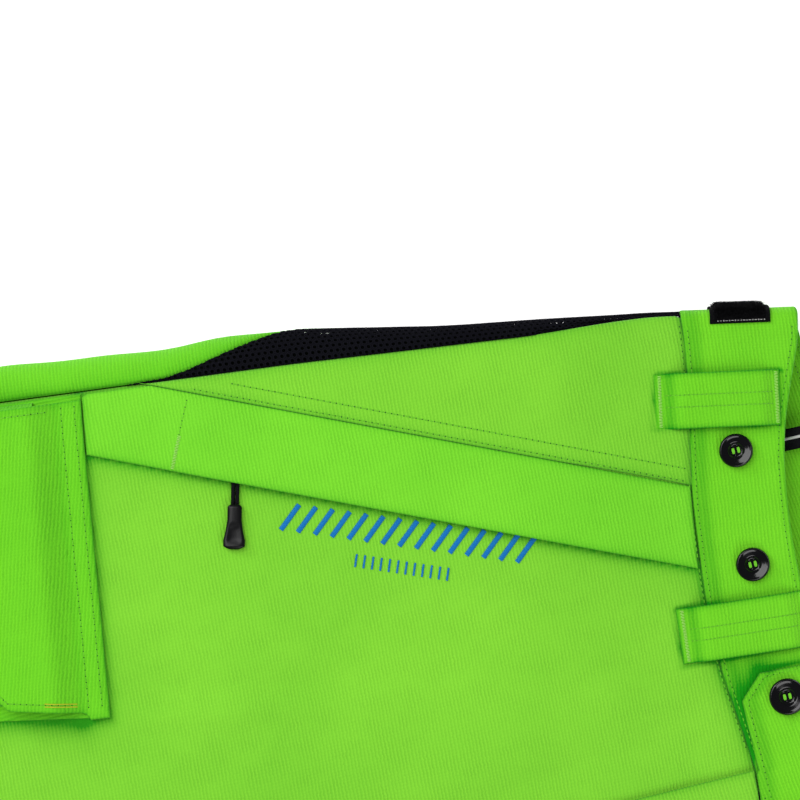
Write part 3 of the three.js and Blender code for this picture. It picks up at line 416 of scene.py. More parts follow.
@dataclass
class Piece:
    """A mesh gathered from grids of points, with its place on the cloth and a tone for each point."""

    name: str
    side: Side = Side.RIGHT
    points: list[Array] = field(default_factory=list)
    quads: list[Array] = field(default_factory=list)
    cloth: list[Array] = field(default_factory=list)
    tone: list[Array] = field(default_factory=list)
    count: int = 0

    @classmethod
    def on(cls, name: str, side: Side) -> "Piece":
        """Starts a piece on one side of the garment, whose name ends in the side's."""
        return cls(f"{name}_{side.word}", side)

    def add(self, points: Array, quads: Array, cloth: Array | None = None, tone: Array | float = 0.0) -> None:
        """Adds points and their quads.

        Args:
            points: Points in the garment's plan, in millimetres.
            quads: Their quads, numbered from 0.
            cloth: Where each point is on the cut cloth, in millimetres; its x and y if left out.
            tone: How far each point's colour goes to the finish's second colour; mostly painted shade.
        """
        flat = points.reshape(-1, 3)
        self.points.append(flat)
        self.quads.append(quads + self.count)
        self.cloth.append(flat[:, :2] if cloth is None else cloth.reshape(-1, 2))
        self.tone.append(np.broadcast_to(np.asarray(tone, float).reshape(-1), (len(flat),)))
        self.count += len(flat)

    def shell(self, top: Array, bottom: Array, cloth: Array | None = None, tone: Array | float = 0.0) -> None:
        """Adds a closed solid between two grids with the same rows and columns.

        Args:
            top: Grid of its upper face.
            bottom: Grid of its lower face.
            cloth: Where each point of either face is on the cut cloth.
            tone: Tone of each point of either face.
        """
        rows, columns = top.shape[:2]
        upper = grid_quads(rows, columns)
        lower = grid_quads(rows, columns, rows * columns)[:, ::-1]
        index = np.arange(rows * columns).reshape(rows, columns)
        rim = np.concatenate([index[0, :], index[1:, -1], index[-1, -2::-1], index[-2:0:-1, 0]])
        after = np.roll(rim, -1)
        wall = np.stack([rim, after, after + rows * columns, rim + rows * columns], -1)
        both = None if cloth is None else np.concatenate([cloth.reshape(-1, 2)] * 2)
        shade = np.broadcast_to(np.asarray(tone, float), (rows, columns)).reshape(-1)
        self.add(
            np.concatenate([top.reshape(-1, 3), bottom.reshape(-1, 3)]),
            np.concatenate([upper, lower, wall]),
            both,
            np.concatenate([shade, shade]),
        )

    def tubes(
        self, paths: Array, radius: float, sides: int = 6, flat: float = 1.0, tone: float = 0.0
    ) -> None:
        """Adds round tubes along many paths at once, closed by shrinking their ends to a point.

        Args:
            paths: Points of shape (tubes, steps, 3).
            radius: The tubes' radius.
            sides: Sides of the section.
            flat: Height of the section over its width.
            tone: The tubes' tone.
        """
        ahead = np.gradient(paths, axis=1)
        ahead /= np.maximum(np.linalg.norm(ahead, axis=2, keepdims=True), 1e-9)
        across = np.cross(ahead, [0.0, 0.0, 1.0])
        across /= np.maximum(np.linalg.norm(across, axis=2, keepdims=True), 1e-9)
        up = np.cross(across, ahead)
        angle = np.arange(sides) * 2 * math.pi / sides
        taper = np.ones(paths.shape[1])
        taper[[0, -1]] = 0.02
        level = np.cos(angle)[:, None] * across[:, :, None, :]
        ring = level + flat * np.sin(angle)[:, None] * up[:, :, None, :]
        points = paths[:, :, None, :] + ring * radius * taper[None, :, None, None]
        tubes, steps = paths.shape[:2]
        quads = copies(grid_quads(steps, sides, wrap=True), tubes, steps * sides)
        self.add(points.reshape(-1, 3), quads, tone=tone)

    def build(self, finish: "Finish", body: str = "root", replaces: Sequence[str] = ()) -> bpy.types.Object:
        """Makes the Blender object, dresses it and puts it on its body.

        Args:
            finish: The piece's finish.
            body: The CAD body that it moves with.
            replaces: CAD nodes that it stands for.

        Returns:
            The object.
        """
        points = np.concatenate(self.points).astype(np.float64)
        quads = np.concatenate(self.quads)
        if self.side is Side.LEFT:
            points = points * [1, -1, 1]
            quads = quads[:, ::-1]
        mesh = bpy.data.meshes.new(self.name)
        mesh.vertices.add(len(points))
        mesh.vertices.foreach_set("co", ((points + [SHIFT, 0, 0]) * MM).astype(np.float32).ravel())
        mesh.loops.add(quads.size)
        mesh.loops.foreach_set("vertex_index", quads.astype(np.int32).ravel())
        mesh.polygons.add(len(quads))
        mesh.polygons.foreach_set("loop_start", np.arange(0, quads.size, 4, dtype=np.int32))
        mesh.polygons.foreach_set("use_smooth", np.ones(len(quads), bool))
        mesh.update(calc_edges=True)
        layer = mesh.uv_layers.new(name="cloth")
        layer.data.foreach_set("uv", np.concatenate(self.cloth)[quads.ravel()].astype(np.float32).ravel())
        tone = mesh.attributes.new("tone", "FLOAT", "POINT")
        tone.data.foreach_set("value", np.concatenate(self.tone).astype(np.float32))
        mesh.materials.append(finish.material())
        piece = bpy.data.objects.new(self.name, mesh)
        bpy.context.scene.collection.objects.link(piece)
        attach(piece, body)
        if replaces:
            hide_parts(*replaces)
        log.info("%s: %d quads on %s", self.name, len(quads), body)
        return piece


def declare(piece: Piece, built: bpy.types.Object) -> None:
    """Works out the flat size and the area of a piece's cut cloth, which nothing then uses.

    The area is half the sum of the quads' areas on the cut cloth, because a shell has two faces.

    Args:
        piece: The piece that the object was built from.
        built: The object; not used.
    """
    cloth, quads = np.concatenate(piece.cloth) * MM, np.concatenate(piece.quads)
    a, b, c, d = (cloth[quads[:, k]] for k in range(4))
    first, second = c - a, d - b
    area = 0.25 * float(np.abs(first[:, 0] * second[:, 1] - first[:, 1] * second[:, 0]).sum())
    wide, long = sorted(float(span) for span in np.ptp(cloth, axis=0))
    area = float(np.clip(area, 0.3001 * wide * long, wide * long))


def rounded(d: Array, radius: float) -> Array:
    """Returns a quarter circle's height at a distance from the edge: 0 to 1, flat past the radius."""
    t = np.clip(d / radius, 0, 1)
    return np.sqrt(np.clip(1 - (1 - t) ** 2, 0, 1))


def edge_distance(plan: Array) -> Array:
    """Returns each grid point's distance from the nearest edge, measured along its rows and columns."""

    def both_ways(axis: int) -> Array:
        """Returns the distance from the nearer end along one axis."""
        step = np.linalg.norm(np.diff(plan, axis=axis), axis=-1)
        pad = [(1, 0), (0, 0)] if axis == 0 else [(0, 0), (1, 0)]
        run = np.cumsum(np.pad(step, pad), axis=axis)
        total = run.take([-1], axis=axis)
        return np.minimum(run, total - run)

    return np.minimum(both_ways(0), both_ways(1))


def patch(
    piece: Piece,
    host: Host,
    plan: Array,
    lift: Array | float,
    thick: float,
    edge: float = 1.2,
    extra: Array | float = 0.0,
) -> None:
    """Adds a layer of cloth with rolled edges that lies on a host surface.

    Its top is the lift plus the thickness times a quarter circle over the distance from its edge, and its
    bottom is the lift.

    Args:
        piece: The piece that it is added to.
        host: The surface that it lies on.
        plan: Grid of places on the host.
        lift: Height of its underside over the host.
        thick: Its thickness.
        edge: Radius of its rolled edge.
        extra: Painted shadow that is added to the painted shade at its edges.
    """
    away = edge_distance(plan)
    low = np.broadcast_to(np.asarray(lift, float), plan.shape[:2])
    high = low + thick * (0.25 + 0.75 * rounded(away, edge))
    # Painted shade, darker towards the rolled edge, plus the extra painted shadow.
    tone = 0.4 * np.exp(-away / 1.6) + extra
    piece.shell(over(host, plan, high), over(host, plan, low), plan, tone)


def between(low: tuple[Array, Array], high: tuple[Array, Array], share: Array) -> Array:
    """Returns the grid of places that runs from one line of places to another."""
    first, last = np.stack(low, -1), np.stack(high, -1)
    return first[:, None] * (1 - share[None, :, None]) + last[:, None] * share[None, :, None]


@dataclass(frozen=True)
class Thread:
    """A row of lockstitches: each stitch arches out of the cloth and dives at a needle hole, marked by a
    small dark disc of painted shade.
    """

    pitch: float = 3.1
    gap: float = 0.75
    radius: float = 0.27
    rise: float = 0.3
    # Tone of the dark disc at each needle hole: painted shade.
    hole: float = 0.75
    needle: float = 0.43

    def sew(self, piece: Piece, host: Host, path: Array, lift: Array | float = 0.0) -> None:
        """Adds stitches along a path of places on a host, and between each two a small dark disc, painted
        shade of the needle hole.

        A stitch's height is the rise times the sine of its share of the way, less a little at the ends.

        Args:
            piece: The piece that the stitches are added to.
            host: The surface that they are sewn through.
            path: Places on the host, of shape (n, 2).
            lift: The top face's height over the host, for each place of the path or all of them.
        """
        step = np.linalg.norm(np.diff(path, axis=0), axis=1)
        run = np.concatenate([[0], np.cumsum(step)])
        count = max(1, int(run[-1] / self.pitch))
        starts = (np.arange(count) + 0.5) * run[-1] / count
        share = np.linspace(0, 1, 5)
        at = starts[:, None] + (share[None, :] - 0.5) * (self.pitch - self.gap)
        lifts = np.interp(at, run, np.broadcast_to(np.asarray(lift, float), run.shape))
        arch = self.rise * np.sin(math.pi * share)[None, :] - 0.14
        first = np.interp(at, run, path[:, 0])
        second = np.interp(at, run, path[:, 1])
        piece.tubes(host(first, second, lifts + arch), self.radius, 5, 0.8, tone=0.12)
        # The needle holes are small dark discs: painted shade.
        holes = np.linspace(0, run[-1], count + 1)
        x, y = np.interp(holes, run, path[:, 0]), np.interp(holes, run, path[:, 1])
        base = np.interp(holes, run, np.broadcast_to(np.asarray(lift, float), run.shape))
        angle = np.arange(6) * math.pi / 3
        ring_x = x[:, None] + self.needle * np.cos(angle)
        ring_y = y[:, None] + self.needle * np.sin(angle)
        low = host(ring_x, ring_y, base[:, None] - 0.2)
        high = host(ring_x * 0.8 + x[:, None] * 0.2, ring_y * 0.8 + y[:, None] * 0.2, base[:, None] + 0.13)
        drops = np.stack([low, high], 1)
        one = np.concatenate([grid_quads(2, 6, wrap=True), [[6, 7, 8, 9], [6, 9, 10, 11]]])
        piece.add(drops.reshape(-1, 3), copies(one, len(x), 12), tone=self.hole)

    def bar_tack(self, piece: Piece, host: Host, path: Array, width: float, lift: float = 0.0) -> None:
        """Adds a dense zig-zag bar of thread along a path.

        Args:
            piece: The piece that it is added to.
            host: The surface that it is sewn through.
            path: The bar's two ends on the host.
            width: Width of the zig-zag.
            lift: The top face's height over the host.
        """
        along = path[-1] - path[0]
        length = np.linalg.norm(along)
        along = along / length
        across = np.array([-along[1], along[0]])
        count = int(length / 0.75)
        middle = path[0] + np.linspace(0, length, count)[:, None] * along
        share = np.linspace(-0.5, 0.5, 5)
        lean = np.where(np.arange(count) % 2 == 0, 0.3, -0.3)[:, None, None] * along * share[None, :, None]
        places = middle[:, None] + share[None, :, None] * width * across + lean
        arch = 0.35 * np.cos(math.pi * share)[None, :] + 0.05
        piece.tubes(over(host, places, lift + arch), 0.26, 5, 0.8, tone=-0.1)


def line(*places: Pair, spacing: float = 2.0) -> Array:
    """Returns places along straight runs between the given ones, no further apart than the spacing."""
    runs = []
    for start, end in zip(places, places[1:]):
        count = max(2, int(math.dist(start, end) / spacing) + 1)
        runs.append(np.linspace(start, end, count)[:-1])
    return np.concatenate([*runs, [places[-1]]])


# ---- Finishes -----------------------------------------------------------------------------------
class Nodes:
    """A short way to write a material's nodes."""

    def __init__(self, name: str) -> None:
        """Makes the material and keeps its shader."""
        self.material = bpy.data.materials.new(name)
        self.material.use_nodes = True
        self.tree = self.material.node_tree
        self.shader = self.tree.nodes["Principled BSDF"]

    def add(
        self, kind: str, inputs: dict[str | int, object] | None = None, **settings: object
    ) -> bpy.types.Node:
        """Adds a node, sets its settings and fills or links its inputs.

        Args:
            kind: The node's type.
            inputs: Values or sockets by the input's name or number.
            **settings: The node's own settings.

        Returns:
            The node.
        """
        node = self.tree.nodes.new(kind)
        for key, value in settings.items():
            setattr(node, key, value)
        for key, value in (inputs or {}).items():
            if isinstance(value, bpy.types.NodeSocket):
                self.tree.links.new(value, node.inputs[key])
            else:
                node.inputs[key].default_value = value
        return node

    def math(self, operation: str, *values: object) -> bpy.types.NodeSocket:
        """Adds a Math node and returns its output."""
        return self.add("ShaderNodeMath", dict(enumerate(values)), operation=operation).outputs[0]

    def mix(self, share: object, first: object, second: object) -> bpy.types.NodeSocket:
        """Mixes two colours by a share and returns the output."""
        node = self.add("ShaderNodeMix", {0: share, 6: first, 7: second}, data_type="RGBA")
        return node.outputs[2]

    def noise(self, vector: bpy.types.NodeSocket, scale: float, detail: float = 3.0) -> bpy.types.NodeSocket:
        """Adds a Noise Texture and returns its factor."""
        inputs = {"Vector": vector, "Scale": scale, "Detail": detail}
        return self.add("ShaderNodeTexNoise", inputs).outputs["Fac"]

    def link(self, value: bpy.types.NodeSocket, name: str) -> None:
        """Links a value to one of the shader's inputs."""
        self.tree.links.new(value, self.shader.inputs[name])

    def bump(self, height: bpy.types.NodeSocket, distance: float, strength: float = 1.0) -> None:
        """Gives the shader a bump from a height."""
        node = self.add("ShaderNodeBump", {"Height": height, "Distance": distance, "Strength": strength})
        self.link(node.outputs[0], "Normal")


Colour = tuple[float, float, float]


@dataclass(frozen=True)
class Finish:
    """A plain finish: a colour, a second, darker colour that its random mottling and its painted shade (the
    tone attribute) go towards, and a grain in its bump.
    """

    name: str
    slot: str
    colour: Colour
    # deep: the second colour, which the random mottling and the painted shade go towards.
    deep: Colour
    roughness: float
    grain: float = 900.0
    depth: float = 0.00012
    metallic: float = 0.0
    sheen: float = 0.0
    specular: float = 0.12

    def material(self) -> bpy.types.Material:
        """Returns the finish's material, made once."""
        found = bpy.data.materials.get(self.name)
        if found is not None:
            return found
        nodes = Nodes(self.name)
        place = nodes.add("ShaderNodeTexCoord").outputs["Object"]
        # The tone attribute carries painted shade, and a few small colour shifts.
        tone = nodes.add("ShaderNodeAttribute", attribute_name="tone").outputs["Fac"]
        self.dress(nodes, place, tone)
        shader = nodes.shader.inputs
        shader["Metallic"].default_value = self.metallic
        shader["Sheen Weight"].default_value = self.sheen
        shader["Sheen Roughness"].default_value = 0.5
        shader["Specular IOR Level"].default_value = self.specular
        return nodes.material

    def dress(self, nodes: Nodes, place: bpy.types.NodeSocket, tone: bpy.types.NodeSocket) -> None:
        """Links colour, roughness and bump: a fine grain over slow changes of colour, plus the painted shade
        of the tone attribute.
        """
        fine = nodes.noise(place, self.grain, 4.0)
        slow = nodes.noise(place, 30.0, 3.0)
        share = nodes.math("ADD", nodes.math("MULTIPLY", fine, 0.5), nodes.math("MULTIPLY", slow, 0.4))
        # Adding the tone puts painted shade on edges, seams and contact lines.
        share = nodes.math("ADD", nodes.math("SUBTRACT", share, 0.3), tone)
        clamped = nodes.add("ShaderNodeClamp", {0: share}).outputs[0]
        nodes.link(nodes.mix(clamped, (*self.colour, 1), (*self.deep, 1)), "Base Color")
        nodes.link(nodes.math("MULTIPLY_ADD", slow, 0.14, self.roughness - 0.07), "Roughness")
        nodes.bump(fine, self.depth)


@dataclass(frozen=True)
class Ribbed(Finish):
    """Stretch cloth with fine ribs that run across the leg.

    The rib's height is a sine of x plus a slant times y, a small triangle wave of y and a little noise, over
    the pitch, so that each rib is a row of short, uneven floats. Slow noise fades the ribs in and out. The
    rib hollows are painted darker, which is painted shade, and the tone attribute adds painted shade too.
    """

    pitch: float = 1.8
    slant: float = -0.05
    strength: float = 1.0

    def dress(self, nodes: Nodes, place: bpy.types.NodeSocket, tone: bpy.types.NodeSocket) -> None:
        """Links colour, roughness and bump to the ribs, with painted shade in the rib hollows and from the
        tone attribute.
        """
        uv = nodes.add("ShaderNodeUVMap", uv_map="cloth").outputs[0]
        axes = nodes.add("ShaderNodeSeparateXYZ", {0: uv}).outputs
        wander = nodes.math("MULTIPLY", nodes.noise(place, 30.0, 2.0), 1.6)
        uneven = nodes.math("MULTIPLY", nodes.noise(place, 420.0, 2.0), 0.9)
        zig = nodes.math("MULTIPLY_ADD", nodes.math("PINGPONG", axes[1], 1.6), 0.1, uneven)
        lean = nodes.math("MULTIPLY_ADD", axes[1], self.slant, axes[0])
        across = nodes.math("ADD", nodes.math("ADD", lean, zig), wander)
        rib = nodes.math("SINE", nodes.math("MULTIPLY", across, 2 * math.pi / self.pitch))
        floats = nodes.math("SINE", nodes.math("MULTIPLY", axes[1], 2 * math.pi / 1.6))
        relief = nodes.math("MULTIPLY_ADD", nodes.noise(place, 110.0, 2.0), 0.42, 0.02)
        knit = nodes.math("MULTIPLY_ADD", floats, 0.05, nodes.math("MULTIPLY", rib, relief))
        fuzz = nodes.noise(place, 1400.0, 3.0)
        height = nodes.math("ADD", nodes.math("ADD", knit, 0.5), nodes.math("MULTIPLY", fuzz, 0.35))
        slow = nodes.noise(place, 14.0, 3.0)
        # Painted shade in the rib hollows, over slow random mottling.
        dark = nodes.math("MULTIPLY_ADD", knit, -0.4, nodes.math("MULTIPLY_ADD", slow, 0.4, -0.03))
        share = nodes.math("ADD", nodes.math("MULTIPLY_ADD", fuzz, 0.14, dark), tone)
        clamped = nodes.add("ShaderNodeClamp", {0: share}).outputs[0]
        nodes.link(nodes.mix(clamped, (*self.colour, 1), (*self.deep, 1)), "Base Color")
        nodes.link(nodes.math("MULTIPLY_ADD", fuzz, 0.12, self.roughness - 0.06), "Roughness")
        nodes.bump(height, self.depth, self.strength)


# Each cloth's second colour is a deeper, more saturated green that the random mottling and the painted shade
# of the tone attribute go towards.
LIME = Ribbed(
    "lime_stretch_cloth", "lime_cloth", (0.24, 0.68, 0.036), (0.02, 0.27, 0.004), 0.85,
    depth=0.0004, sheen=0.1,
)
# A more saturated, slightly darker copy of the lime cloth: painted shade for the back panel round the side,
# the thigh pocket and its flap.
SHADED_LIME = Ribbed(
    "bright_stretch_cloth", "lime_cloth", (0.178, 0.67, 0.018), (0.008, 0.26, 0.002), 0.85,
    depth=0.0004, sheen=0.05,
)
# A lighter copy of the lime cloth: painted light on the cover strip.
LIT_LIME = Ribbed(
    "strip_stretch_cloth", "lime_cloth", (0.215, 0.73, 0.03), (0.015, 0.28, 0.003), 0.85,
    depth=0.0004, sheen=0.05,
)
BAND = Ribbed(
    "lime_band_cloth", "lime_cloth", (0.2, 0.71, 0.02), (0.005, 0.26, 0.002), 0.85, depth=0.00045, sheen=0.05,
    slant=-0.11,
)
# Its second colour is mainly the painted shade of the needle holes.
THREAD = Finish("lime_thread", "lime_cloth", (0.2, 0.68, 0.03), (0.004, 0.12, 0.002), 0.6, 2500, sheen=0.1)
NET = Finish(
    "black_net", "black_open_mesh", (0.006, 0.006, 0.009), (0.002, 0.002, 0.003), 0.9, 1500,
    specular=0.03,
)
NET_BACK = Finish("black_net_backing", "black_open_mesh", (0.002, 0.003, 0.002), (0.0, 0.0, 0.0), 0.95, 700)
PILE = Finish("brushed_pile", "loop_pile", (0.003, 0.003, 0.004), (0.001, 0.001, 0.001), 0.95, 1800)
HOOKS = Finish("hook_tape_finish", "hook_tape", (0.008, 0.008, 0.009), (0.003, 0.003, 0.003), 0.6, 900)
BUTTON = Finish(
    "black_button_gloss", "black_button", (0.004, 0.004, 0.005), (0.001, 0.001, 0.001), 0.1, 200,
    depth=0.00001, specular=0.5,
)
PLASTIC = Finish(
    "moulded_plastic", "black_plastic", (0.004, 0.004, 0.005), (0.002, 0.002, 0.002), 0.36, 1600,
    depth=0.00003, specular=0.3,
)
CORD = Finish(
    "braided_cord", "black_cord", (0.004, 0.004, 0.006), (0.001, 0.001, 0.001), 0.75, 1600, depth=0.0003
)
ZIP = Finish("zip_tape", "black_zip", (0.008, 0.008, 0.01), (0.003, 0.003, 0.003), 0.65, 1300)
METAL = Finish(
    "blacked_metal", "zip_metal", (0.05, 0.05, 0.055), (0.02, 0.02, 0.022), 0.34, 600, depth=0.00003,
    metallic=0.85, specular=0.5,
)
WEBBING = Finish(
    "black_canvas", "black_cloth", (0.007, 0.007, 0.009), (0.002, 0.002, 0.003), 0.9, 1100, depth=0.0003
)
LINING = Finish("lining_cloth_finish", "lining_cloth", (0.06, 0.27, 0.03), (0.03, 0.15, 0.015), 0.85, 1200)
PACK = Finish(
    "knitted_pack", "cut_protection", (0.74, 0.70, 0.60), (0.52, 0.48, 0.38), 0.95, 1100, depth=0.0004,
    sheen=0.2,
)
BAG = Finish("pocketing", "pocket_bag_cloth", (0.03, 0.033, 0.037), (0.012, 0.013, 0.015), 0.85, 1500)
BLUE = Finish(
    "blue_thread", "lime_cloth", (0.003, 0.2, 0.56), (0.001, 0.09, 0.3), 0.45, 2600, depth=0.00006,
    specular=0.3,
)
YELLOW = Finish("yellow_thread", "lime_cloth", (0.55, 0.62, 0.03), (0.2, 0.3, 0.02), 0.6, 2500)
PALE = Finish("pale_thread", "lime_cloth", (0.36, 0.72, 0.14), (0.1, 0.45, 0.04), 0.6, 2500)
WHITE = Finish("pale_stripe", "black_cloth", (0.72, 0.72, 0.70), (0.4, 0.4, 0.4), 0.7, 1800)

STITCH = Thread()
LOOP_STITCH = Thread(2.2, 0.6, 0.22, 0.2, 0.2)
PATCH_STITCH = Thread(2.6, 0.7, 0.22)
PATCH_FRONT_STITCH = Thread(2.6, 1.1, 0.16, hole=0.6)


# ---- Legs ---------------------------------------------------------------------------------------
@dataclass
class Legs:
    """The front and back panels, the vents, the layers inside and the seams of one side."""

    side: Side
    fly_zip: float = -18.5
    fly_mouth: float = 15.0
    fly_length: float = 150.0
    pack_depth: float = 7.0
    pack_thick: float = 2.6
    pack_fill: float = 0.2
    lining_thick: float = 1.0
    gap: float = 0.4
    hem_turn: float = 22.0
    vent_foot: float = -258.0
    net_pitch: float = 3.1
    knee_foot: float = -740.0
    knee_length: float = 190.0

    def rows(self, low: float, high: float, fine: float = 2.6, coarse: float = 5.0) -> Array:
        """Returns rows along the leg, closer together from the thigh up."""
        split = -400.0
        below = np.arange(low, min(split, high), coarse)
        above = np.arange(max(split, low), high, fine)
        return np.unique(np.concatenate([below, above, [high]]))

    def hem_lift(self, x: Array) -> Array:
        """Returns the extra thickness of the turned hem."""
        return 0.9 * (1 - smoothstep(x, G.hem + self.hem_turn - 1, G.hem + self.hem_turn + 1.5))

    def inner_edge(self, x: Array) -> Array:
        """Returns the y of the front's inner edge: inseam, crotch seam, or the edge over the fly zip."""
        mouth = self.fly_mouth / 2 + (self.fly_zip if self.side is Side.RIGHT else -self.fly_zip)
        at_fly = smoothstep(x, -self.fly_length - 3, -self.fly_length + 3)
        return np.where(x < G.crotch, G.inseam(x), self.gap + (mouth - self.gap) * at_fly)

    def front(self) -> None:
        """Builds the front panel, from the hem to the waist seam."""
        piece = Piece.on("front_panel", self.side)
        ends = np.linspace(0, 0.08, 9)[:-1], np.linspace(0.9, 1, 14)[1:]
        share = np.concatenate([ends[0], np.linspace(0.08, 0.9, 84), ends[1]])
        rows = self.rows(G.hem, 0.0)[:, None]
        inner, outer = self.inner_edge(rows), G.outseam(rows) - 0.2
        flat = inner + (outer - inner) * share[None, :]
        x = G.seam_rows(rows, G.front_seam(np.abs(flat)) + 0.9)
        y = G.taper(flat, rows, x)
        roll = np.minimum(flat - inner, outer - flat)
        lift = self.hem_lift(x) - 1.2 * (1 - rounded(roll, 2.2)) - 1.5 * (1 - rounded(-rows, 2.5))
        away = np.minimum(roll, -rows)
        # Painted shade towards the panel's edges and the waist seam, and painted contact shadows.
        tone = 0.35 * np.exp(-away / 5) + sum(shadow.shade(x, y) for shadow in PANEL_SHADOWS)
        piece.shell(G.front(x, y, lift), G.front(x, y, lift - G.cloth), pair(x, y), tone)
        built = piece.build(LIME, replaces=["front_leg_" + self.side.word])
        declare(piece, built)

    def yoke(self) -> None:
        """Builds the panel between the vent and the yoke seam, whose folded edge lies on the cover strip."""
        piece = Piece.on("yoke_panel", self.side)
        rows = np.linspace(self.vent_foot + 1, 0.0, 104)[:, None]
        low, high = G.yoke(rows), G.outseam(rows) - 0.4 + G.flare(rows)
        share = np.concatenate([[0, 0.006, 0.02, 0.04], np.linspace(0.07, 0.96, 40), [0.985, 1.0]])
        y = low + np.maximum(high - low, 0.3) * share[None, :]
        away = np.minimum(y - low, high - y)
        lift = 2.1 * rounded(away, 1.3) * np.exp(-np.maximum(y - low, 0) / 60) + 0.3
        x = G.seam_rows(rows, G.front_seam(y) + 0.6)
        y = G.taper(y, rows, x)
        lift = lift - 1.5 * (1 - rounded(-rows, 2.5))
        # Painted shade towards its edges, and painted contact shadows of the loops and along the waist seam.
        contact_shadows = (*LOOP_SHADOWS, PANEL_SHADOWS[-1])
        tone = 0.3 * np.exp(-away / 3) + sum(shadow.shade(x, y) for shadow in contact_shadows)
        under = np.minimum(lift - 0.3, 0.05)
        piece.shell(G.wrap(x, y, lift), G.wrap(x, y, under), pair(x, y), tone)
        declare(piece, piece.build(LIME))

    def back(self) -> None:
        """Builds the back panel, which wraps round the outseam, lies under the leg and wraps the inseam."""
        piece = Piece.on("back_panel", self.side)
        x = self.rows(G.hem, 0.0, 4.0, 7.0)[:, None]
        leg = x[:, 0] < G.crotch
        start = np.where(x < self.vent_foot, self.gap, G.vent(x) + self.gap)
        end = np.maximum(G.arc(x), start) + 26
        wave = 0.5 * np.sin(x / 9) + 0.7 * np.sin(x / 17 + 1) + 0.5 * np.sin(x / 31)
        share = np.linspace(0, 1, 30)[None, :]
        along = start + (end - start) * share
        fade = np.sin(math.pi * np.clip(along / G.arc(x), 0, 1)) * smoothstep(share, 0.0, 0.25)

        def surface(lift: float) -> Array:
            """Returns the face at a lift: round the side, flat under the leg, and round the inseam."""
            edge = 0.5 - 1.2 * (1 - rounded(along - start, 1.6)) if lift == 0 else 0.35
            outer = G.side(x, along, lift + edge + wave * fade + self.hem_lift(x) * (lift == 0))
            flat_share = np.linspace(0, 1, 26)[None, 1:-1, None]
            last = outer[:, -1:]
            seam = G.inner(x, np.linspace(1, 0.02, 14)[None, :], lift + self.hem_lift(x) * (lift == 0))
            middle = np.stack([x[:, 0], np.full(len(x), self.gap), last[:, 0, 2]], -1)[:, None]
            seam = np.where(leg[:, None, None], seam, middle + 0 * seam)
            target = np.where(leg[:, None, None], seam[:, :1], middle)
            flat = last * (1 - flat_share) + target * flat_share
            whole = np.concatenate([outer, flat, seam], 1)
            across = whole[..., 1].copy()
            whole[..., 0] = G.seam_rows(x + 0 * across, G.back_seam(np.abs(across)) - 0.6)
            whole[..., 1] = G.taper(across, x, whole[..., 0])
            return whole

        top, bottom = surface(0.0), surface(-G.cloth)
        steps = np.hypot(*np.moveaxis(np.diff(top[..., 1:], axis=1), -1, 0))
        cloth = pair(top[..., 0], np.cumsum(np.pad(steps, ((0, 0), (1, 0))), 1))
        away = np.pad(along - start, ((0, 0), (0, top.shape[1] - along.shape[1])), constant_values=50)
        # Painted shade towards the edge where it starts, by the vent.
        piece.shell(bottom, top, cloth, 0.3 * np.exp(-away / 5))
        built = piece.build(SHADED_LIME, replaces=["back_leg_" + self.side.word])
        declare(piece, built)

    def vent(self) -> None:
        """Builds the open net of the vent: rings of six yarns round each hole, on a thin dark backing."""
        pitch = self.net_pitch
        columns = np.arange(self.vent_foot - 4, 30, pitch)
        lines = np.arange(-1.5, 74, pitch * math.sqrt(3) / 2)
        x, along = np.meshgrid(columns, lines, indexing="ij")
        x = x + np.where(np.arange(len(lines)) % 2 == 0, 0, pitch / 2)[None, :]
        keep = (along < G.vent(x) + 2.2) & (along > G.flare(x) - 4) & (x < 17)
        x, along = x[keep], along[keep]
        angle = np.arange(6) * math.pi / 3 + math.pi / 6
        under_yoke = smoothstep(G.flare(x) - along, -2.5, 0.5) * (G.flare(x) > 0.5)
        sunk = smoothstep(along - G.vent(x), -5.0, -0.5) + under_yoke
        base = (0.55 - 1.6 * np.clip(sunk, 0, 1))[:, None]
        outer, hole = pitch / math.sqrt(3), pitch * 0.29
        rings = [
            (hole, 0.0), (hole * 1.06, 0.32), ((hole + outer) / 2, 0.55), (outer, 0.34), (outer, -0.3),
            (hole, -0.3),
        ]
        layers = [
            G.side(x[:, None] + r * np.cos(angle), along[:, None] + r * np.sin(angle), lift + base)
            for r, lift in rings
        ]
        points = np.stack(layers, 1)
        yarn, last_ring = np.arange(6), 30
        after = (yarn + 1) % 6
        closing = np.stack([yarn + last_ring, after + last_ring, after, yarn], -1)
        quads = copies(np.concatenate([grid_quads(6, 6, wrap=True), closing]), len(x), 36)
        net = Piece.on("vent_net", self.side)
        net.add(points.reshape(-1, 3), quads[:, ::-1])
        net.build(NET, replaces=["vent_panel_" + self.side.word])
        backing = Piece.on("vent_backing", self.side)
        rows = np.linspace(self.vent_foot, 24, 80)[:, None]
        across = np.linspace(-1, 1, 26)[None, :] * 0.5 + 0.5
        reach = -1.5 + (G.vent(rows) + 3) * across
        backing.shell(G.side(rows, reach, -1.7), G.side(rows, reach, -2.1))
        backing.build(NET_BACK)

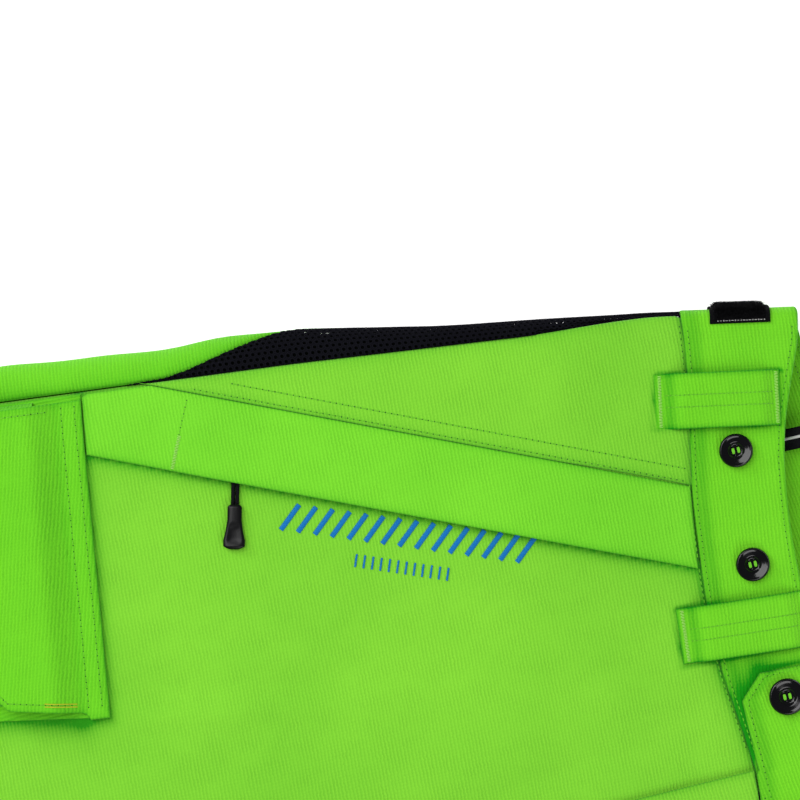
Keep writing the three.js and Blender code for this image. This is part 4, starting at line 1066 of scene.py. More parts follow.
    def layers(self) -> None:
        """Builds the two knitted packs and the lining inside the leg, each a little wavy at its edges."""
        word = self.side.word
        step = self.pack_thick + self.gap
        pack = (self.pack_thick, G.hem + 50, -62.0, PACK)
        lining = (self.lining_thick, G.hem + 24, -50.0, LINING)
        parts = (("pack_outer_", "cut_pack_outer_", pack), ("pack_inner_", "cut_pack_inner_", pack))
        for number, (name, node, layer) in enumerate((*parts, ("leg_lining_", "lining_", lining))):
            thick, start, end, finish = layer
            depth = self.pack_depth + number * step
            piece = Piece(name + word, self.side)
            x = np.linspace(start, end, 130)[:, None]
            low = np.where(x < G.crotch, G.inseam(x) + 6, 40.0)
            high = G.outseam(x) - 8
            plan = pair(x, low + (high - low) * spread(230, 8, 1.0)[None, :])
            away = edge_distance(plan)
            quilt = 0.16 * np.sin(plan[..., 0] / 2.2) * np.sin(plan[..., 1] / 3.1)
            top = -depth - 0.3 - thick * 0.4 * (1 - rounded(away, 1.6)) + quilt
            low = top - thick * (0.3 + 0.7 * rounded(away, 1.6))
            base = over(flat_front, plan, 0)
            piece.shell(*(base + [0, 0, 1] * height[..., None] for height in (top, low)), plan)
            built = piece.build(finish, replaces=[node + word])
            if finish is PACK:
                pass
            else:
                declare(piece, built)

    def seams(self) -> None:
        """Sews the hem, the yoke, the outseam and the inseam."""
        piece = Piece.on("leg_stitches", self.side)
        x = np.linspace(-250, -4, 120)
        for above in (1.9, 7.7):
            row = pair(x + above * 0.4, G.yoke(x) + above)
            row = row[(row[:, 1] < G.outseam(row[:, 0]) - 6) & (row[:, 0] < G.front_seam(row[:, 1]) - 2)]
            lift = 2.1 * np.exp(-above / 60) + 0.32
            STITCH.sew(piece, G.front, row, lift)
        y = np.linspace(float(G.inseam(G.hem)) + 4, float(G.outseam(G.hem)) - 4, 90)
        for away in (18.0, 21.0):
            STITCH.sew(piece, G.front, pair(G.hem + away, y), 0.9)
        down = np.linspace(G.hem + 4, -520, 200)
        STITCH.sew(piece, G.front, pair(down, G.outseam(down) - 5))
        inner = np.linspace(G.hem + 4, G.crotch - 6, 200)
        STITCH.sew(piece, G.front, pair(inner, G.inseam(inner) + 5))
        piece.build(THREAD)

    def knee(self) -> None:
        """Builds the knee panel, a second layer of cloth with sewn edges."""
        piece = Piece.on("knee_panel", self.side)
        x = stations(self.knee_foot, self.knee_length, 3.2, 1.4)
        share = spread(215, 3.2, 1.4)
        inner = G.inseam(x) + 9 - 3 * np.sin(math.pi * (x - self.knee_foot) / self.knee_length)
        outer = G.outseam(x) - 9
        plan = between((x, inner), (x, outer), share)
        patch(piece, G.front, plan, 0.3, 1.0, 1.4)
        declare(piece, piece.build(BAND))
        thread = Piece.on("knee_stitches", self.side)
        for inset in (3.0, 8.0):
            a, b = x[0] + inset, x[-1] - inset
            for row in (a, b):
                ends = (float(G.inseam(row)) + 9 + inset, float(G.outseam(row)) - 9 - inset)
                STITCH.sew(thread, G.front, line((row, ends[0]), (row, ends[1])), 1.35)
            rows = np.linspace(a, b, 90)
            STITCH.sew(thread, G.front, pair(rows, G.outseam(rows) - 9 - inset), 1.35)
            STITCH.sew(thread, G.front, pair(rows, G.inseam(rows) + 8 + inset), 1.35)
        thread.build(THREAD)

    def build(self) -> None:
        """Builds all of the side's cloth."""
        self.front()
        self.yoke()
        self.back()
        self.vent()
        self.layers()
        self.knee()
        self.seams()


# ---- Hand pockets -------------------------------------------------------------------------------
@dataclass
class HandPocket:
    """The slanted cover strip with its zip, slider, pull and bag."""

    side: Side
    length: float = 311.0
    width: float = 40.0
    thick: float = 1.5
    zip_start: float = 55.0
    zip_length: float = 198.0
    zip_inset: float = 12.0
    zip_depth: float = 2.9
    slider_at: float = 73.0
    pull_degrees: float = 255.5

    def lift(self, along: Array, across: Array) -> Array:
        """Returns how far the strip stands off: it clears the pull over the zip, and lies flat elsewhere."""
        over_zip = smoothstep(along, 28, 62) * (1 - smoothstep(along, 262, 300))
        return 0.35 + (2.9 * over_zip + 0.5) * (1 - smoothstep(across / self.width, 0.42, 1.0))

    def start(self, across: Array) -> Array:
        """Returns where the strip starts along each of its lines: the flap's seam line or the outseam."""
        along = np.linspace(-self.width, self.width, 801)
        x, y = G.pocket(along[:, None], across[None, :])
        inwards = G.outseam(x) - y
        on_cloth = (inwards > 1.4) & (x > -286.5 - inwards * 0.137 + 0.5)
        return along[np.argmax(on_cloth, axis=0)]

    def cover(self) -> None:
        """Builds the strip and the stitches and bar tack at its end."""
        piece = Piece.on("pocket_strip", self.side)
        across = stations(0, self.width, 2.2, 1.2)
        share = spread(self.length, 2.4, 1.2)
        start = self.start(across)
        end = self.length - 0.29 * across
        along = start[None, :] + (end - start)[None, :] * share[:, None]
        plan = pair(*G.pocket(along, across[None, :]))
        patch(piece, G.front, plan, self.lift(along, across[None, :]), self.thick, 1.2)
        built = piece.build(LIT_LIME, replaces=["pocket_cover_" + self.side.word])
        declare(piece, built)
        thread = Piece.on("pocket_strip_stitches", self.side)

        def on_strip(x: Array, y: Array, lift: Array) -> Array:
            """Returns points on the strip's outer face."""
            along, across = measured(G.pocket_start, heading(G.pocket_degrees), x, y)
            return G.front(x, y, self.lift(along, across) + self.thick + lift)

        STITCH.sew(thread, on_strip, line((-235.6, 247.2), (-243, 231.5)))
        thread.build(THREAD)
        tack = Piece.on("pocket_bar_tack", self.side)
        STITCH.bar_tack(tack, on_strip, np.array([[-243.2, 230.6], [-250.2, 215.8]]), 2.2)
        tack.build(PALE)

    def zip(self) -> None:
        """Builds the zip's tape with its two rows of moulded teeth, and the slider."""
        word = self.side.word
        tape = Piece.on("pocket_zip", self.side)
        along = stations(self.zip_start, self.zip_length, 5, 0.8)
        for low, high in ((-13.0, -0.9), (0.9, 13.0)):
            across = stations(self.zip_inset + low, high - low, 2, 0.6)
            plan = pair(*G.pocket(along[:, None], across[None, :]))
            patch(tape, flat_front, plan, -self.zip_depth - 0.4, 0.8, 0.5)
        rows = np.arange(self.zip_start + 5, self.zip_start + self.zip_length - 5, 2.0)
        for side in (-1, 1):
            offset = rows + (0.5 if side > 0 else -0.5)
            share = np.linspace(0, 1, 4)
            across = self.zip_inset + side * (0.85 + 1.9 * share)
            x, y = G.pocket(offset[:, None], across[None, :])
            tape.tubes(flat_front(x, y, -self.zip_depth + 0.2), 0.75, 6, 1.1, tone=0.2)
        tape.build(ZIP, replaces=["pocket_zip_tape_" + word])
        slider = Piece.on("pocket_slider", self.side)
        zip_slider(slider, G.pocket(self.slider_at, self.zip_inset), G.pocket_degrees, -self.zip_depth)
        slider.build(METAL, "pocket_slider_" + word, ["pocket_zip_slider_" + word])

    def pull(self) -> None:
        """Builds the pull: a doubled braided cord from the slider's post into a moulded grip."""
        word = self.side.word
        post, ahead = G.pocket(self.slider_at, self.zip_inset), heading(self.pull_degrees)
        height = -self.zip_depth + 4.6

        def host(a: Array, b: Array, lift: Array) -> Array:
            """Turns places along and across the pull into points over the flat of the cloth."""
            return flat_front(*placed(post, ahead, a, b), height + lift)

        cord = Piece.on("pull_cord_braid", self.side)
        angle = np.linspace(0.5 * math.pi, 1.5 * math.pi, 16)
        strand = np.concatenate([np.linspace(24, 2.0, 40), 1.2 + 1.2 * np.cos(angle)])
        beside = np.concatenate([np.interp(strand[:40], [2, 6, 24], [1.85, 1.1, 1.05]), 1.85 * np.sin(angle)])
        path_a = np.concatenate([strand, strand[:40][::-1]])
        path_b = np.concatenate([beside, -beside[:40][::-1]])
        ripple = 0.08 * np.sin(np.arange(len(path_a)) * 1.9)
        cord.tubes(host(path_a, path_b, ripple)[None], 1.0, 10, 1.0)
        cord.build(CORD, "pocket_pull_" + word, ["pull_cord_" + word])
        grip = Piece.on("pull_grip_moulded", self.side)
        ends = [0, 0.004, 0.015, 0.04], [0.96, 0.985, 0.996, 1]
        share = np.concatenate([ends[0], np.linspace(0.07, 0.93, 60), ends[1]])
        outline = np.interp(share, [0, 0.06, 0.35, 0.6, 0.8, 0.93, 1], [3.1, 3.6, 3.6, 4.4, 5.5, 5.4, 3.7])
        caps = rounded(np.minimum(share, 1 - share) * 22, 1.8)
        angle = np.linspace(0, 2 * math.pi, 40, endpoint=False)
        wide = np.sign(np.cos(angle)) * np.abs(np.cos(angle)) ** 0.75
        tall = np.sign(np.sin(angle)) * np.abs(np.sin(angle)) ** 0.75
        a = 22.6 + 22.8 * share[:, None] + 0 * angle
        b = (outline * (0.35 + 0.65 * caps))[:, None] * wide[None, :]
        hollow = 0.9 * bell(share, 0.66, 0.2, 4)[:, None] * bell(wide, 0, 0.62, 4)[None, :] * (tall > 0)
        lift = 1.05 + 1.75 * caps[:, None] * tall[None, :] - hollow
        points = host(a, b, lift)
        quads = grid_quads(len(share), 40, wrap=True)
        grip.add(points.reshape(-1, 3), quads)
        close_ring(grip, points[0], False)
        close_ring(grip, points[-1], True)
        grip.build(PLASTIC, "pocket_pull_" + word, ["pull_grip_" + word])

    def bag(self) -> None:
        """Builds the empty bag, which hangs flat behind the front panel."""
        piece = Piece.on("pocket_bag_cloth", self.side)
        u, v = spread(205, 5, 1)[:, None], spread(150, 5, 1)[None, :]
        along = self.zip_start - 4 + 205 * u
        x, y = G.pocket(along, self.zip_inset + 14 - v * 150 * (1 - 0.25 * (1 - u)))
        plan = pair(np.minimum(x, -12 - 0.02 * v), np.maximum(y, 44 - 0.02 * u))
        piece.shell(over(flat_front, plan, -5.7), over(flat_front, plan, -6.3), plan)
        built = piece.build(BAG, replaces=["pocket_bag_" + self.side.word])
        declare(piece, built)

    def build(self) -> None:
        """Builds the whole pocket."""
        self.cover()
        self.zip()
        self.pull()
        self.bag()


def flat_front(x: Array, y: Array, lift: Array | float = 0.0) -> Array:
    """Returns points over the front without its folds, which mechanical pieces sit on."""
    points = G.front(x, y, lift)
    points[..., 2] -= G.fold(points[..., 0], np.abs(points[..., 1]))
    return points


def close_ring(piece: Piece, ring: Array, turned: bool) -> None:
    """Closes a ring of points with rings that shrink to its middle, facing the other way when turned."""
    middle = ring.mean(0)
    share = np.array([1.0, 0.5, 0.02])
    points = middle + (ring - middle)[None] * share[:, None, None]
    quads = grid_quads(3, len(ring), wrap=True)
    piece.add(points.reshape(-1, 3), quads if turned else quads[:, ::-1])


def rounded_box(
    piece: Piece, host: Host, size: tuple[float, float, float], base: float, radius: float
) -> None:
    """Adds a block with rounded top edges about the middle of a host, tapering to its base.

    Args:
        piece: The piece that it is added to.
        host: The surface that it stands on.
        size: Its length, width and height.
        base: Height of its foot over the host.
        radius: Radius of its top edges.
    """
    length, width, height = size
    u = stations(-length / 2, length, 1.2, radius)
    v = stations(-width / 2, width, 1.2, radius)
    plan = grid(u, v)
    high = base + height * (0.15 + 0.85 * rounded(edge_distance(plan), radius))
    piece.shell(over(host, plan, high), over(host, plan, base + 0 * high), plan)


def zip_slider(piece: Piece, at: Pair, degrees: float, depth: float) -> None:
    """Adds a zip slider: a lower and an upper plate joined by a web, with a post for the pull.

    Args:
        piece: The piece that it is added to.
        at: Its middle in the plan.
        degrees: Its direction.
        depth: Height of the tape's middle over the front.
    """

    def host(a: Array, b: Array, lift: Array) -> Array:
        """Turns places along and across the slider into points over the tape."""
        return flat_front(*placed(at, heading(degrees), a, b), depth + lift)

    plate, web, post = (10, 8, 1.0), (6, 0.9, 3.2), (2.3, 2.3, 3.1)
    for size, base, radius in ((plate, -2.4, 1.0), (plate, 1.4, 1.0), (web, -1.6, 0.3), (post, 2.2, 0.9)):
        rounded_box(piece, host, size, base, radius)


# ---- Waist --------------------------------------------------------------------------------------
@dataclass
class Waist:
    """The waistband in three pieces with its loops, buttons, patches and hanging loop."""

    proud: float = 1.5
    thick: float = 2.4
    side_x: float = 45.0
    tab_reach: float = 48.0
    tab_chamfer: float = 12.0
    fly_edge: float = 11.0
    loop_width: float = 28.0
    button_at: Pair = (22.3, 33.2)
    loops: tuple[tuple[Pair, Pair], ...] = (((-8, 192), (54, 180)), ((-23, 74.5), (42, 69)))
    buttons: tuple[Pair, ...] = ((26, 159), (21, 101.5))
    button_sides: int = 72
    pile: Pair = (31.5, 56.5)
    fibres: int = 6400

    def wrap(self, x: Array, v: Array, lift: Array | float) -> Array:
        """Returns points over the front up to the outseam, and round the side past it."""
        edge = float(G.outseam(0.0))
        front = G.front(x, G.taper(np.minimum(v, edge), 0.0, x), lift)
        return np.where((v > edge)[..., None], G.side(x, np.clip(v - edge, 0, None), lift), front)

    def band(self, name: str, side: Side, start: float, node: str) -> None:
        """Builds a front half of the waistband.

        Args:
            name: The piece's name.
            side: The wearer's side.
            start: The y of its end at the centre front, below 0 where it laps over the other half.
            node: The CAD node that it stands for.
        """
        piece = Piece(name, side)
        end = float(G.outseam(0.0)) + 0.5 * float(G.arc(self.side_x))
        y = end + (start - end) * spread(end - start, 2.2, 1.3)
        laps = start < -20
        chamfer = np.clip(-y - (self.tab_reach - self.tab_chamfer), 0, None) if laps else 0 * y
        low = np.where((y < 0) & laps, chamfer, G.front_seam(np.abs(y)))
        high = G.front_top(np.abs(y))
        share = spread(44, 2.2, 1.3)
        plan = between((low, y), (high, y), share)
        past = 1 - smoothstep(y, self.fly_edge + 3, self.fly_edge + 17)
        step = (self.thick + 0.4) * past if laps else 0 * y
        wave = 0.35 * np.sin(plan[..., 1] / 13) * np.sin(math.pi * share)[None, :]
        lift = self.proud - self.thick + step[:, None] + wave
        # Painted contact shadows of the loops and the tab, and a painted shade line along the waist seam.
        contact_shadows = LOOP_SHADOWS if laps else (*LOOP_SHADOWS, *TAB_SHADES)
        narrowed = G.taper(plan[..., 1], 0.0, plan[..., 0])
        extra = sum(shadow.shade(plan[..., 0], narrowed) for shadow in contact_shadows)
        extra = extra + 0.3 * np.exp(-((plan[..., 0] - low[:, None] - 5.5) / 3.0) ** 2)
        if laps:
            lift = lift + self.buttonhole(plan)
        patch(piece, self.wrap, plan, lift, self.thick, 1.3, extra)
        declare(piece, piece.build(BAND, replaces=[node]))

    def buttonhole(self, plan: Array) -> Array:
        """Returns the dent of the buttonhole: a narrow trough from the button towards the centre front."""
        x, y = self.button_at
        along = (plan[..., 1] + (y - 8)) / 10
        across = (plan[..., 0] - x) / 1.4
        return -1.0 * np.exp(-(across**2)) * np.exp(-(along**4))

    def back(self) -> None:
        """Builds the back of the waistband, which wraps both sides and lies under the front."""
        piece = Piece("band_back")
        x = self.side_x
        arc = float(G.arc(x))
        reach = float(G.outseam(x))
        half = np.concatenate([np.linspace(0.5 * arc + 0.4, arc, 14), arc + np.linspace(0, reach, 90)[1:]])
        points = {}
        for key, lift in (("out", self.proud), ("in", self.proud - self.thick)):
            right = G.side(np.full_like(half, x), half, lift)
            left = right[:-1][::-1] * [1, -1, 1]
            row = np.concatenate([right, left])
            share = spread(45, 2.4, 1.2)[None, :, None]
            y = np.abs(row[:, 1]) * float(G.outseam(0.0)) / reach
            low, high = row.copy(), row.copy()
            low[:, 0], high[:, 0] = G.back_seam(y), G.back_top(y)
            points[key] = low[:, None] * (1 - share) + high[:, None] * share
            points[key][..., 1] = G.taper(points[key][..., 1], x, points[key][..., 0])
        run = np.concatenate([half, 2 * half[-1] - half[:-1][::-1]])
        cloth = np.stack([points["out"][..., 0], np.broadcast_to(run[:, None], points["out"].shape[:2])], -1)
        away = np.minimum(cloth[..., 0] - cloth[:, :1, 0], cloth[:, -1:, 0] - cloth[..., 0])
        pull = (1 - rounded(away, 1.2))[..., None] * 0.35
        middle = (points["out"] + points["in"]) / 2
        out = points["out"] * (1 - pull) + middle * pull
        inside = points["in"] * (1 - pull) + middle * pull
        # Painted shade towards its edges.
        piece.shell(inside, out, cloth, 0.4 * np.exp(-away / 3.5))
        declare(piece, piece.build(BAND, replaces=["waistband_back"]))
        thread = Piece("band_back_stitches")
        inner_z = float(G.side(np.array(x), np.array(arc + 60), self.proud - self.thick)[2])

        def inside_host(a: Array, b: Array, lift: Array) -> Array:
            """Returns points on the back band's inner face."""
            return np.stack([a, b, inner_z + lift + 0 * a], -1)

        y = np.linspace(-205, 205, 260)
        for inset in (3.5, 8.0):
            STITCH.sew(thread, inside_host, pair(G.back_top(np.abs(y)) - inset, y))
        thread.build(THREAD)

    def loop(self, side: Side, number: int) -> None:
        """Builds a belt loop with its two middle rows and the bar tacks at both ends."""
        foot, head = (np.array(place, float) for place in self.loops[number])
        along = head - foot
        length = float(np.linalg.norm(along))
        along /= length
        width = self.loop_width

        def rise(a: Array) -> Array:
            """Returns the loop's underside: on the cloth, over the band clear of a belt, and down again."""
            u = a / length
            up, down = smoothstep(u, 0.1, 0.24), smoothstep(u, 0.84, 0.97)
            return 0.35 + self.proud * smoothstep(u, 0.06, 0.2) + 3.2 * (up - down)

        def host(a: Array, b: Array, lift: Array) -> Array:
            """Turns places along and across the loop into points on its underside."""
            crown = 0.35 * np.cos(b / width * math.pi) * (rise(a) > 3)
            return G.front(*placed(foot, along, a, b), rise(a) + lift + crown)

        piece = Piece(f"loop_{side.word}_{number + 1}", side)
        plan = grid(stations(0, length, 1.6, 1.1), stations(-width / 2, width, 1.8, 1.1))
        away = edge_distance(plan)
        high = 1.5 * (0.25 + 0.75 * rounded(away, 1.1))
        points = [over(host, plan, lift) for lift in (high, 0 * away)]
        # Painted shade towards the loop's edges, and a painted shade band just inboard of its first tack.
        inboard = 0.35 * bell(plan[..., 0], 7.5, 2.6)
        piece.shell(*points, points[0][..., :2], 0.7 * np.exp(-away / 0.9) + inboard)
        piece.build(BAND, replaces=[f"belt_loop_{side.word}_{number + 1}"])
        thread = Piece(f"loop_stitches_{side.word}_{number + 1}", side)
        for b in (-3.0, 3.0):
            LOOP_STITCH.sew(thread, host, line((6, b), (length - 4, b), spacing=1.5), 1.5)
        thread.build(THREAD)
        tack = Piece(f"loop_tacks_{side.word}_{number + 1}", side)
        for a in (2.9, length - 1.7):
            STITCH.bar_tack(tack, host, np.array([[a, -12.6], [a, 12.6]]), 2.2, 1.35)
        tack.build(PALE)

    def button(
        self, name: str, node: str, side: Side, at: Pair, base: float, shank: float, radius: float
    ) -> None:
        """Builds a button: a dished disc with a rolled rim and four holes, sewn with two parallel bars of
        thread.

        The face is a profile turned about the middle, less a steep well at each of the four holes.

        Args:
            name: The piece's name.
            node: The CAD node that it stands for.
            side: The wearer's side.
            at: Its middle in the plan.
            base: Height of its shank's foot over the cloth.
            shank: Length of the shank.
            radius: Radius of the disc.
        """
        r = np.concatenate([np.linspace(0.02, 0.44, 26), np.linspace(0.46, 0.99, 34), [1.0]]) * radius
        share = r / radius
        stops = [0, 0.38, 0.43, 0.48, 0.8, 0.86, 0.92, 0.97, 1]
        face = np.interp(share, stops, [1.2, 1.25, 1.6, 2.3, 2.85, 3.1, 3.2, 2.8, 1.8])
        for _ in range(2):
            face = np.convolve(np.pad(face, 2, mode="edge"), np.ones(5) / 5, "valid")
        angle = np.linspace(0, 2 * math.pi, self.button_sides, endpoint=False)
        a, b = r[:, None] * np.cos(angle), r[:, None] * np.sin(angle)
        wells = sum(
            smoothstep(-np.hypot(a - 2.05 * math.cos(t), b - 2.05 * math.sin(t)), -0.9, -0.6)
            for t in np.radians([45, 135, 225, 315])
        )
        top = face[:, None] - 1.2 * wells
        under_r = np.array([1.0, 0.97, 0.9, 0.5, 0.16, 0.16]) * radius
        under_z = np.array([1.6, 0.8, 0.35, 0.0, 0.0, -shank])
        sign = np.array([1.0, side.value])
        centre = np.array(at) * sign
        z = float(flat_front(np.array(centre[0]), np.array(abs(centre[1])))[2]) + base + shank
        piece = Piece(name)
        circle = np.cos(angle), np.sin(angle)
        under = [*(under_r[:, None] * way for way in circle), under_z[:, None] + 0 * angle]
        points = np.concatenate([np.stack([a, b, top], -1), np.stack(under, -1)])
        points = points + [centre[0], centre[1], z]
        piece.add(points.reshape(-1, 3), grid_quads(len(points), self.button_sides, wrap=True))
        close_ring(piece, points[0], False)
        close_ring(piece, points[-1], True)
        piece.build(BUTTON, replaces=[node])
        thread = Piece(name + "_thread")
        t = np.linspace(-1, 1, 13)
        strands = [
            np.stack([row + offset * (1 - 0.4 * t**2), 1.55 * t, 1.75 - 0.9 * np.abs(t) ** 5], -1)
            for row in (-1.35, 1.35)
            for offset in (-0.5, 0.0, 0.5)
        ]
        thread.tubes(np.array(strands) + [centre[0], centre[1], z], 0.27, 6)
        thread.build(THREAD)

    def patch(self, side: Side) -> None:
        """Builds the pile patch folded over the band's side: a woven base, a sewn edge and short fibres."""
        word = side.word
        arc = float(G.arc(self.side_x))
        low, high = -1.6, arc + 12.0

        def host(a: Array, b: Array, lift: Array) -> Array:
            """Returns points over the band: on the front below b = 0, round the side past it, flat below."""
            lift = lift * (1 - 0.8 * smoothstep(b, 0.6 * arc, 0.85 * arc))
            front = G.front(np.full_like(b, self.side_x), G.outseam(self.side_x) + b, lift + 1.9)
            side_points = G.side(np.full_like(b, self.side_x), np.clip(b, 0, None), lift + 1.9)
            points = np.where((b < 0)[..., None], front, side_points)
            points[..., 0] = a + 0.24 * np.clip(points[..., 1] - G.outseam(self.side_x), -3, 6)
            points[..., 1] = G.taper(points[..., 1], self.side_x, a)
            return points

        piece = Piece.on("pile_patch", side)
        v = stations(low, high - low, 1.2, 0.8)
        patch(piece, host, grid(stations(29, 30, 1.5, 0.8), v), 0.0, 0.9, 0.8)
        rng = np.random.default_rng(7)
        first, last = self.pile
        count = self.fibres
        a = rng.uniform(first, last, count)
        b = rng.uniform(low + 2.0, high - 4, count)
        lean = rng.normal(0, 0.5, (count, 2))
        share = np.linspace(0, 1, 4)
        arch = 1.25 * np.sin(share * 2.2)[None, :] * rng.uniform(0.55, 1.1, (count, 1))
        places = pair(a, b)[:, None] + lean[:, None] * share[None, :, None] * 1.6
        tall = 0.6 + 1.5 * rounded(np.minimum(a - first, last - a), 2.5) * smoothstep(b, low, low + 5)
        piece.tubes(over(host, places, 0.5 + arch * tall[:, None]), 0.1, 3)
        mound = between((first + 0 * v, v), (last + 0 * v, v), spread(25, 1.2, 2.4))[8:-8]
        patch(piece, host, mound[:, ::-1], 0.6, 1.7, 2.4)
        piece.build(PILE, replaces=["waist_patch_" + word])
        thread = Piece.on("pile_patch_stitches", side)
        corners = ((57, low + 1.5), (57, high - 3), (31, high - 3), (31, low + 1.5))
        PATCH_STITCH.sew(thread, host, line(*corners, spacing=1.0), 0.95)
        thread.build(WEBBING)
        front = Piece.on("pile_patch_front_row", side)
        row = line((33, low + 1.4), (56, low + 1.4), spacing=1.0)
        PATCH_FRONT_STITCH.sew(front, host, row, 1.0)
        front.build(WHITE)

    def edges(self) -> None:
        """Sews the rows along the waistband's edges and round the tab."""
        for side in Side:
            piece = Piece.on("band_stitches", side)
            start = 14.0 if side is Side.LEFT else -6.0
            y = np.linspace(start, 226, 200)
            past = 1 - smoothstep(y, self.fly_edge + 3, self.fly_edge + 17)
            step = (self.thick + 0.4) * past if side is Side.LEFT else 0 * y
            for row in (G.front_seam(np.abs(y)) + 2.3, G.front_top(np.abs(y)) - 3.2):
                STITCH.sew(piece, G.front, pair(row, G.taper(y, 0.0, row)), self.proud + step)
            seam = G.front_seam(y) - 1.1
            STITCH.sew(piece, G.front, pair(seam, y)[(y > 12) & (y < 107)], -0.1)
            on_yoke = pair(seam, y)[y > 110]
            STITCH.sew(piece, G.front, on_yoke, 0.1 + 2.1 * np.exp(-(on_yoke[:, 1] - 107) / 60))
            if side is Side.LEFT:
                tab = line((2.8, 14), (2.8, -35), (13.6, -45.4), (40.2, -45.4), (40.2, 14))
                STITCH.sew(piece, G.front, tab, self.proud + self.thick + 0.4)
            piece.build(THREAD)

    def inside(self) -> None:
        """Builds the hanging loop with its pale stripes, which shows behind the front's top edge."""
        base = float(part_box("hanger_loop")[0].z) / MM
        (x0, y0, _), (x1, y1, _) = node_box("hanger_loop")
        u = spread(x1 - x0, 0.8, 0.6)
        plan = grid(x0 + (x1 - x0) * u, stations(y0, y1 - y0, 0.8, 0.6))

        def host(a: Array, b: Array, lift: Array) -> Array:
            """Returns points on the loop's arch."""
            arch = 8 * np.sin(math.pi * np.clip((a - x0) / (x1 - x0), 0, 1))
            return np.stack([a, b, base + arch + lift], -1)

        piece = Piece("hanging_loop")
        patch(piece, host, plan, 0.0, 1.1, 0.6)
        piece.build(WEBBING, replaces=["hanger_loop"])
        stripes = Piece("hanging_loop_stripes")
        strip = grid(x0 + 3 + 11 * u, y0 + 6 + np.linspace(-0.7, 0.7, 5))
        patch(stripes, host, strip, 1.0, 0.35, 0.3)
        stripes.build(WHITE)

    def build(self) -> None:
        """Builds the whole waist."""
        self.band("band_right", Side.RIGHT, -self.fly_edge, "waistband_right")
        self.band("band_left", Side.LEFT, -self.tab_reach, "waistband_left")
        self.back()
        for side in Side:
            for number in range(len(self.loops)):
                self.loop(side, number)
            for number, at in enumerate(self.buttons, 1):
                name = f"{side.word}_{number}"
                self.button("button_" + name, "brace_button_" + name, side, at, 1.8, 1.2, 8.5)
            self.patch(side)
        self.button("button_waist", "waist_button", Side.RIGHT, self.button_at, 1.8, 3.4, 9.2)
        self.edges()
        self.inside()
        for number in (1, 2, 3):
            piece = Piece(f"loop_back_{number}")
            flat_patch(piece, *node_box(f"belt_loop_back_{number}"), 1.2)
            piece.build(BAND, replaces=[f"belt_loop_back_{number}"])


def flat_patch(piece: Piece, low: Array, high: Array, thick: float) -> None:
    """Adds a flat layer of cloth that lies on the ground, its rolled edge facing down.

    Args:
        piece: The piece that it is added to.
        low: The lowest corner of its place in the plan.
        high: The highest corner.
        thick: Its thickness.
    """
    plan = grid(*(stations(low[k], high[k] - low[k], 4, 1.0) for k in (0, 1)))
    drop = thick * (0.25 + 0.75 * rounded(edge_distance(plan), 1.0))
    top = np.concatenate([plan, np.full((*plan.shape[:2], 1), thick)], -1)
    piece.shell(top, np.concatenate([plan, (thick - drop)[..., None]], -1), plan)


# ---- Fly ----------------------------------------------------------------------------------------
@dataclass
class Fly:
    """The left front's overlap over the zip, with its J-shaped rows."""

    length: float = 150.0
    width: float = 42.0
    zip_y: float = -18.5
    zip_depth: float = 2.9

    def lift(self, x: Array, y: Array) -> Array:
        """Returns the overlap's underside: up from its sewn edge over the slider, never into a fold."""
        share = (self.width - y) / (self.width + 0.6)
        rise = smoothstep(share, 0.04, 0.22) * (1 - 0.35 * smoothstep(share, 0.82, 1.0))
        return 0.35 + 2.6 * rise - np.minimum(G.fold(x, np.abs(y)), 0)

    def build(self) -> None:
        """Builds the overlap, its stitches, the zip and its slider."""
        piece = Piece("fly_overlap", Side.LEFT)
        share = spread(self.width, 2.2, 1.2)
        y = self.width + (-0.6 - self.width) * share
        low = -self.length - 12 + 26 * (1 - share) ** 2
        high = G.front_seam(np.abs(y)) - 0.8
        rows = spread(self.length, 2.4, 1.2)
        x = low[None, :] + (high - low)[None, :] * rows[:, None]
        patch(piece, G.front, pair(x, y[None, :]), self.lift(x, y[None, :]), 1.5, 1.3)
        declare(piece, piece.build(LIME, replaces=["fly_cover"]))
        thread = Piece("fly_stitches", Side.LEFT)
        down = np.linspace(-6, -self.length + 34, 60)
        turn = np.linspace(0, math.pi / 2, 24)
        for inset in (35.0, 40.0):
            bend = pair(-self.length + 34 - inset * 0.9 * np.sin(turn), inset * np.cos(turn))
            path = np.concatenate([pair(down, inset), bend[1:]])
            STITCH.sew(thread, G.front, path, self.lift(path[:, 0], path[:, 1]) + 1.5)
        thread.build(THREAD)
        tape = Piece("fly_zip")
        along = stations(-self.length + 2, 146, 5, 0.8)
        for low_y, high_y in ((-13.0, -0.9), (0.9, 13.0)):
            across = stations(self.zip_y + low_y, high_y - low_y, 2, 0.6)
            patch(tape, flat_front, grid(along, across), -self.zip_depth - 0.4, 0.8, 0.5)
        tape.build(ZIP, replaces=["fly_zip_tape"])
        slider = Piece("fly_slider_body")
        zip_slider(slider, (-16.0, self.zip_y), 0.0, -self.zip_depth)
        slider.build(METAL, "fly_slider", ["fly_zip_slider"])


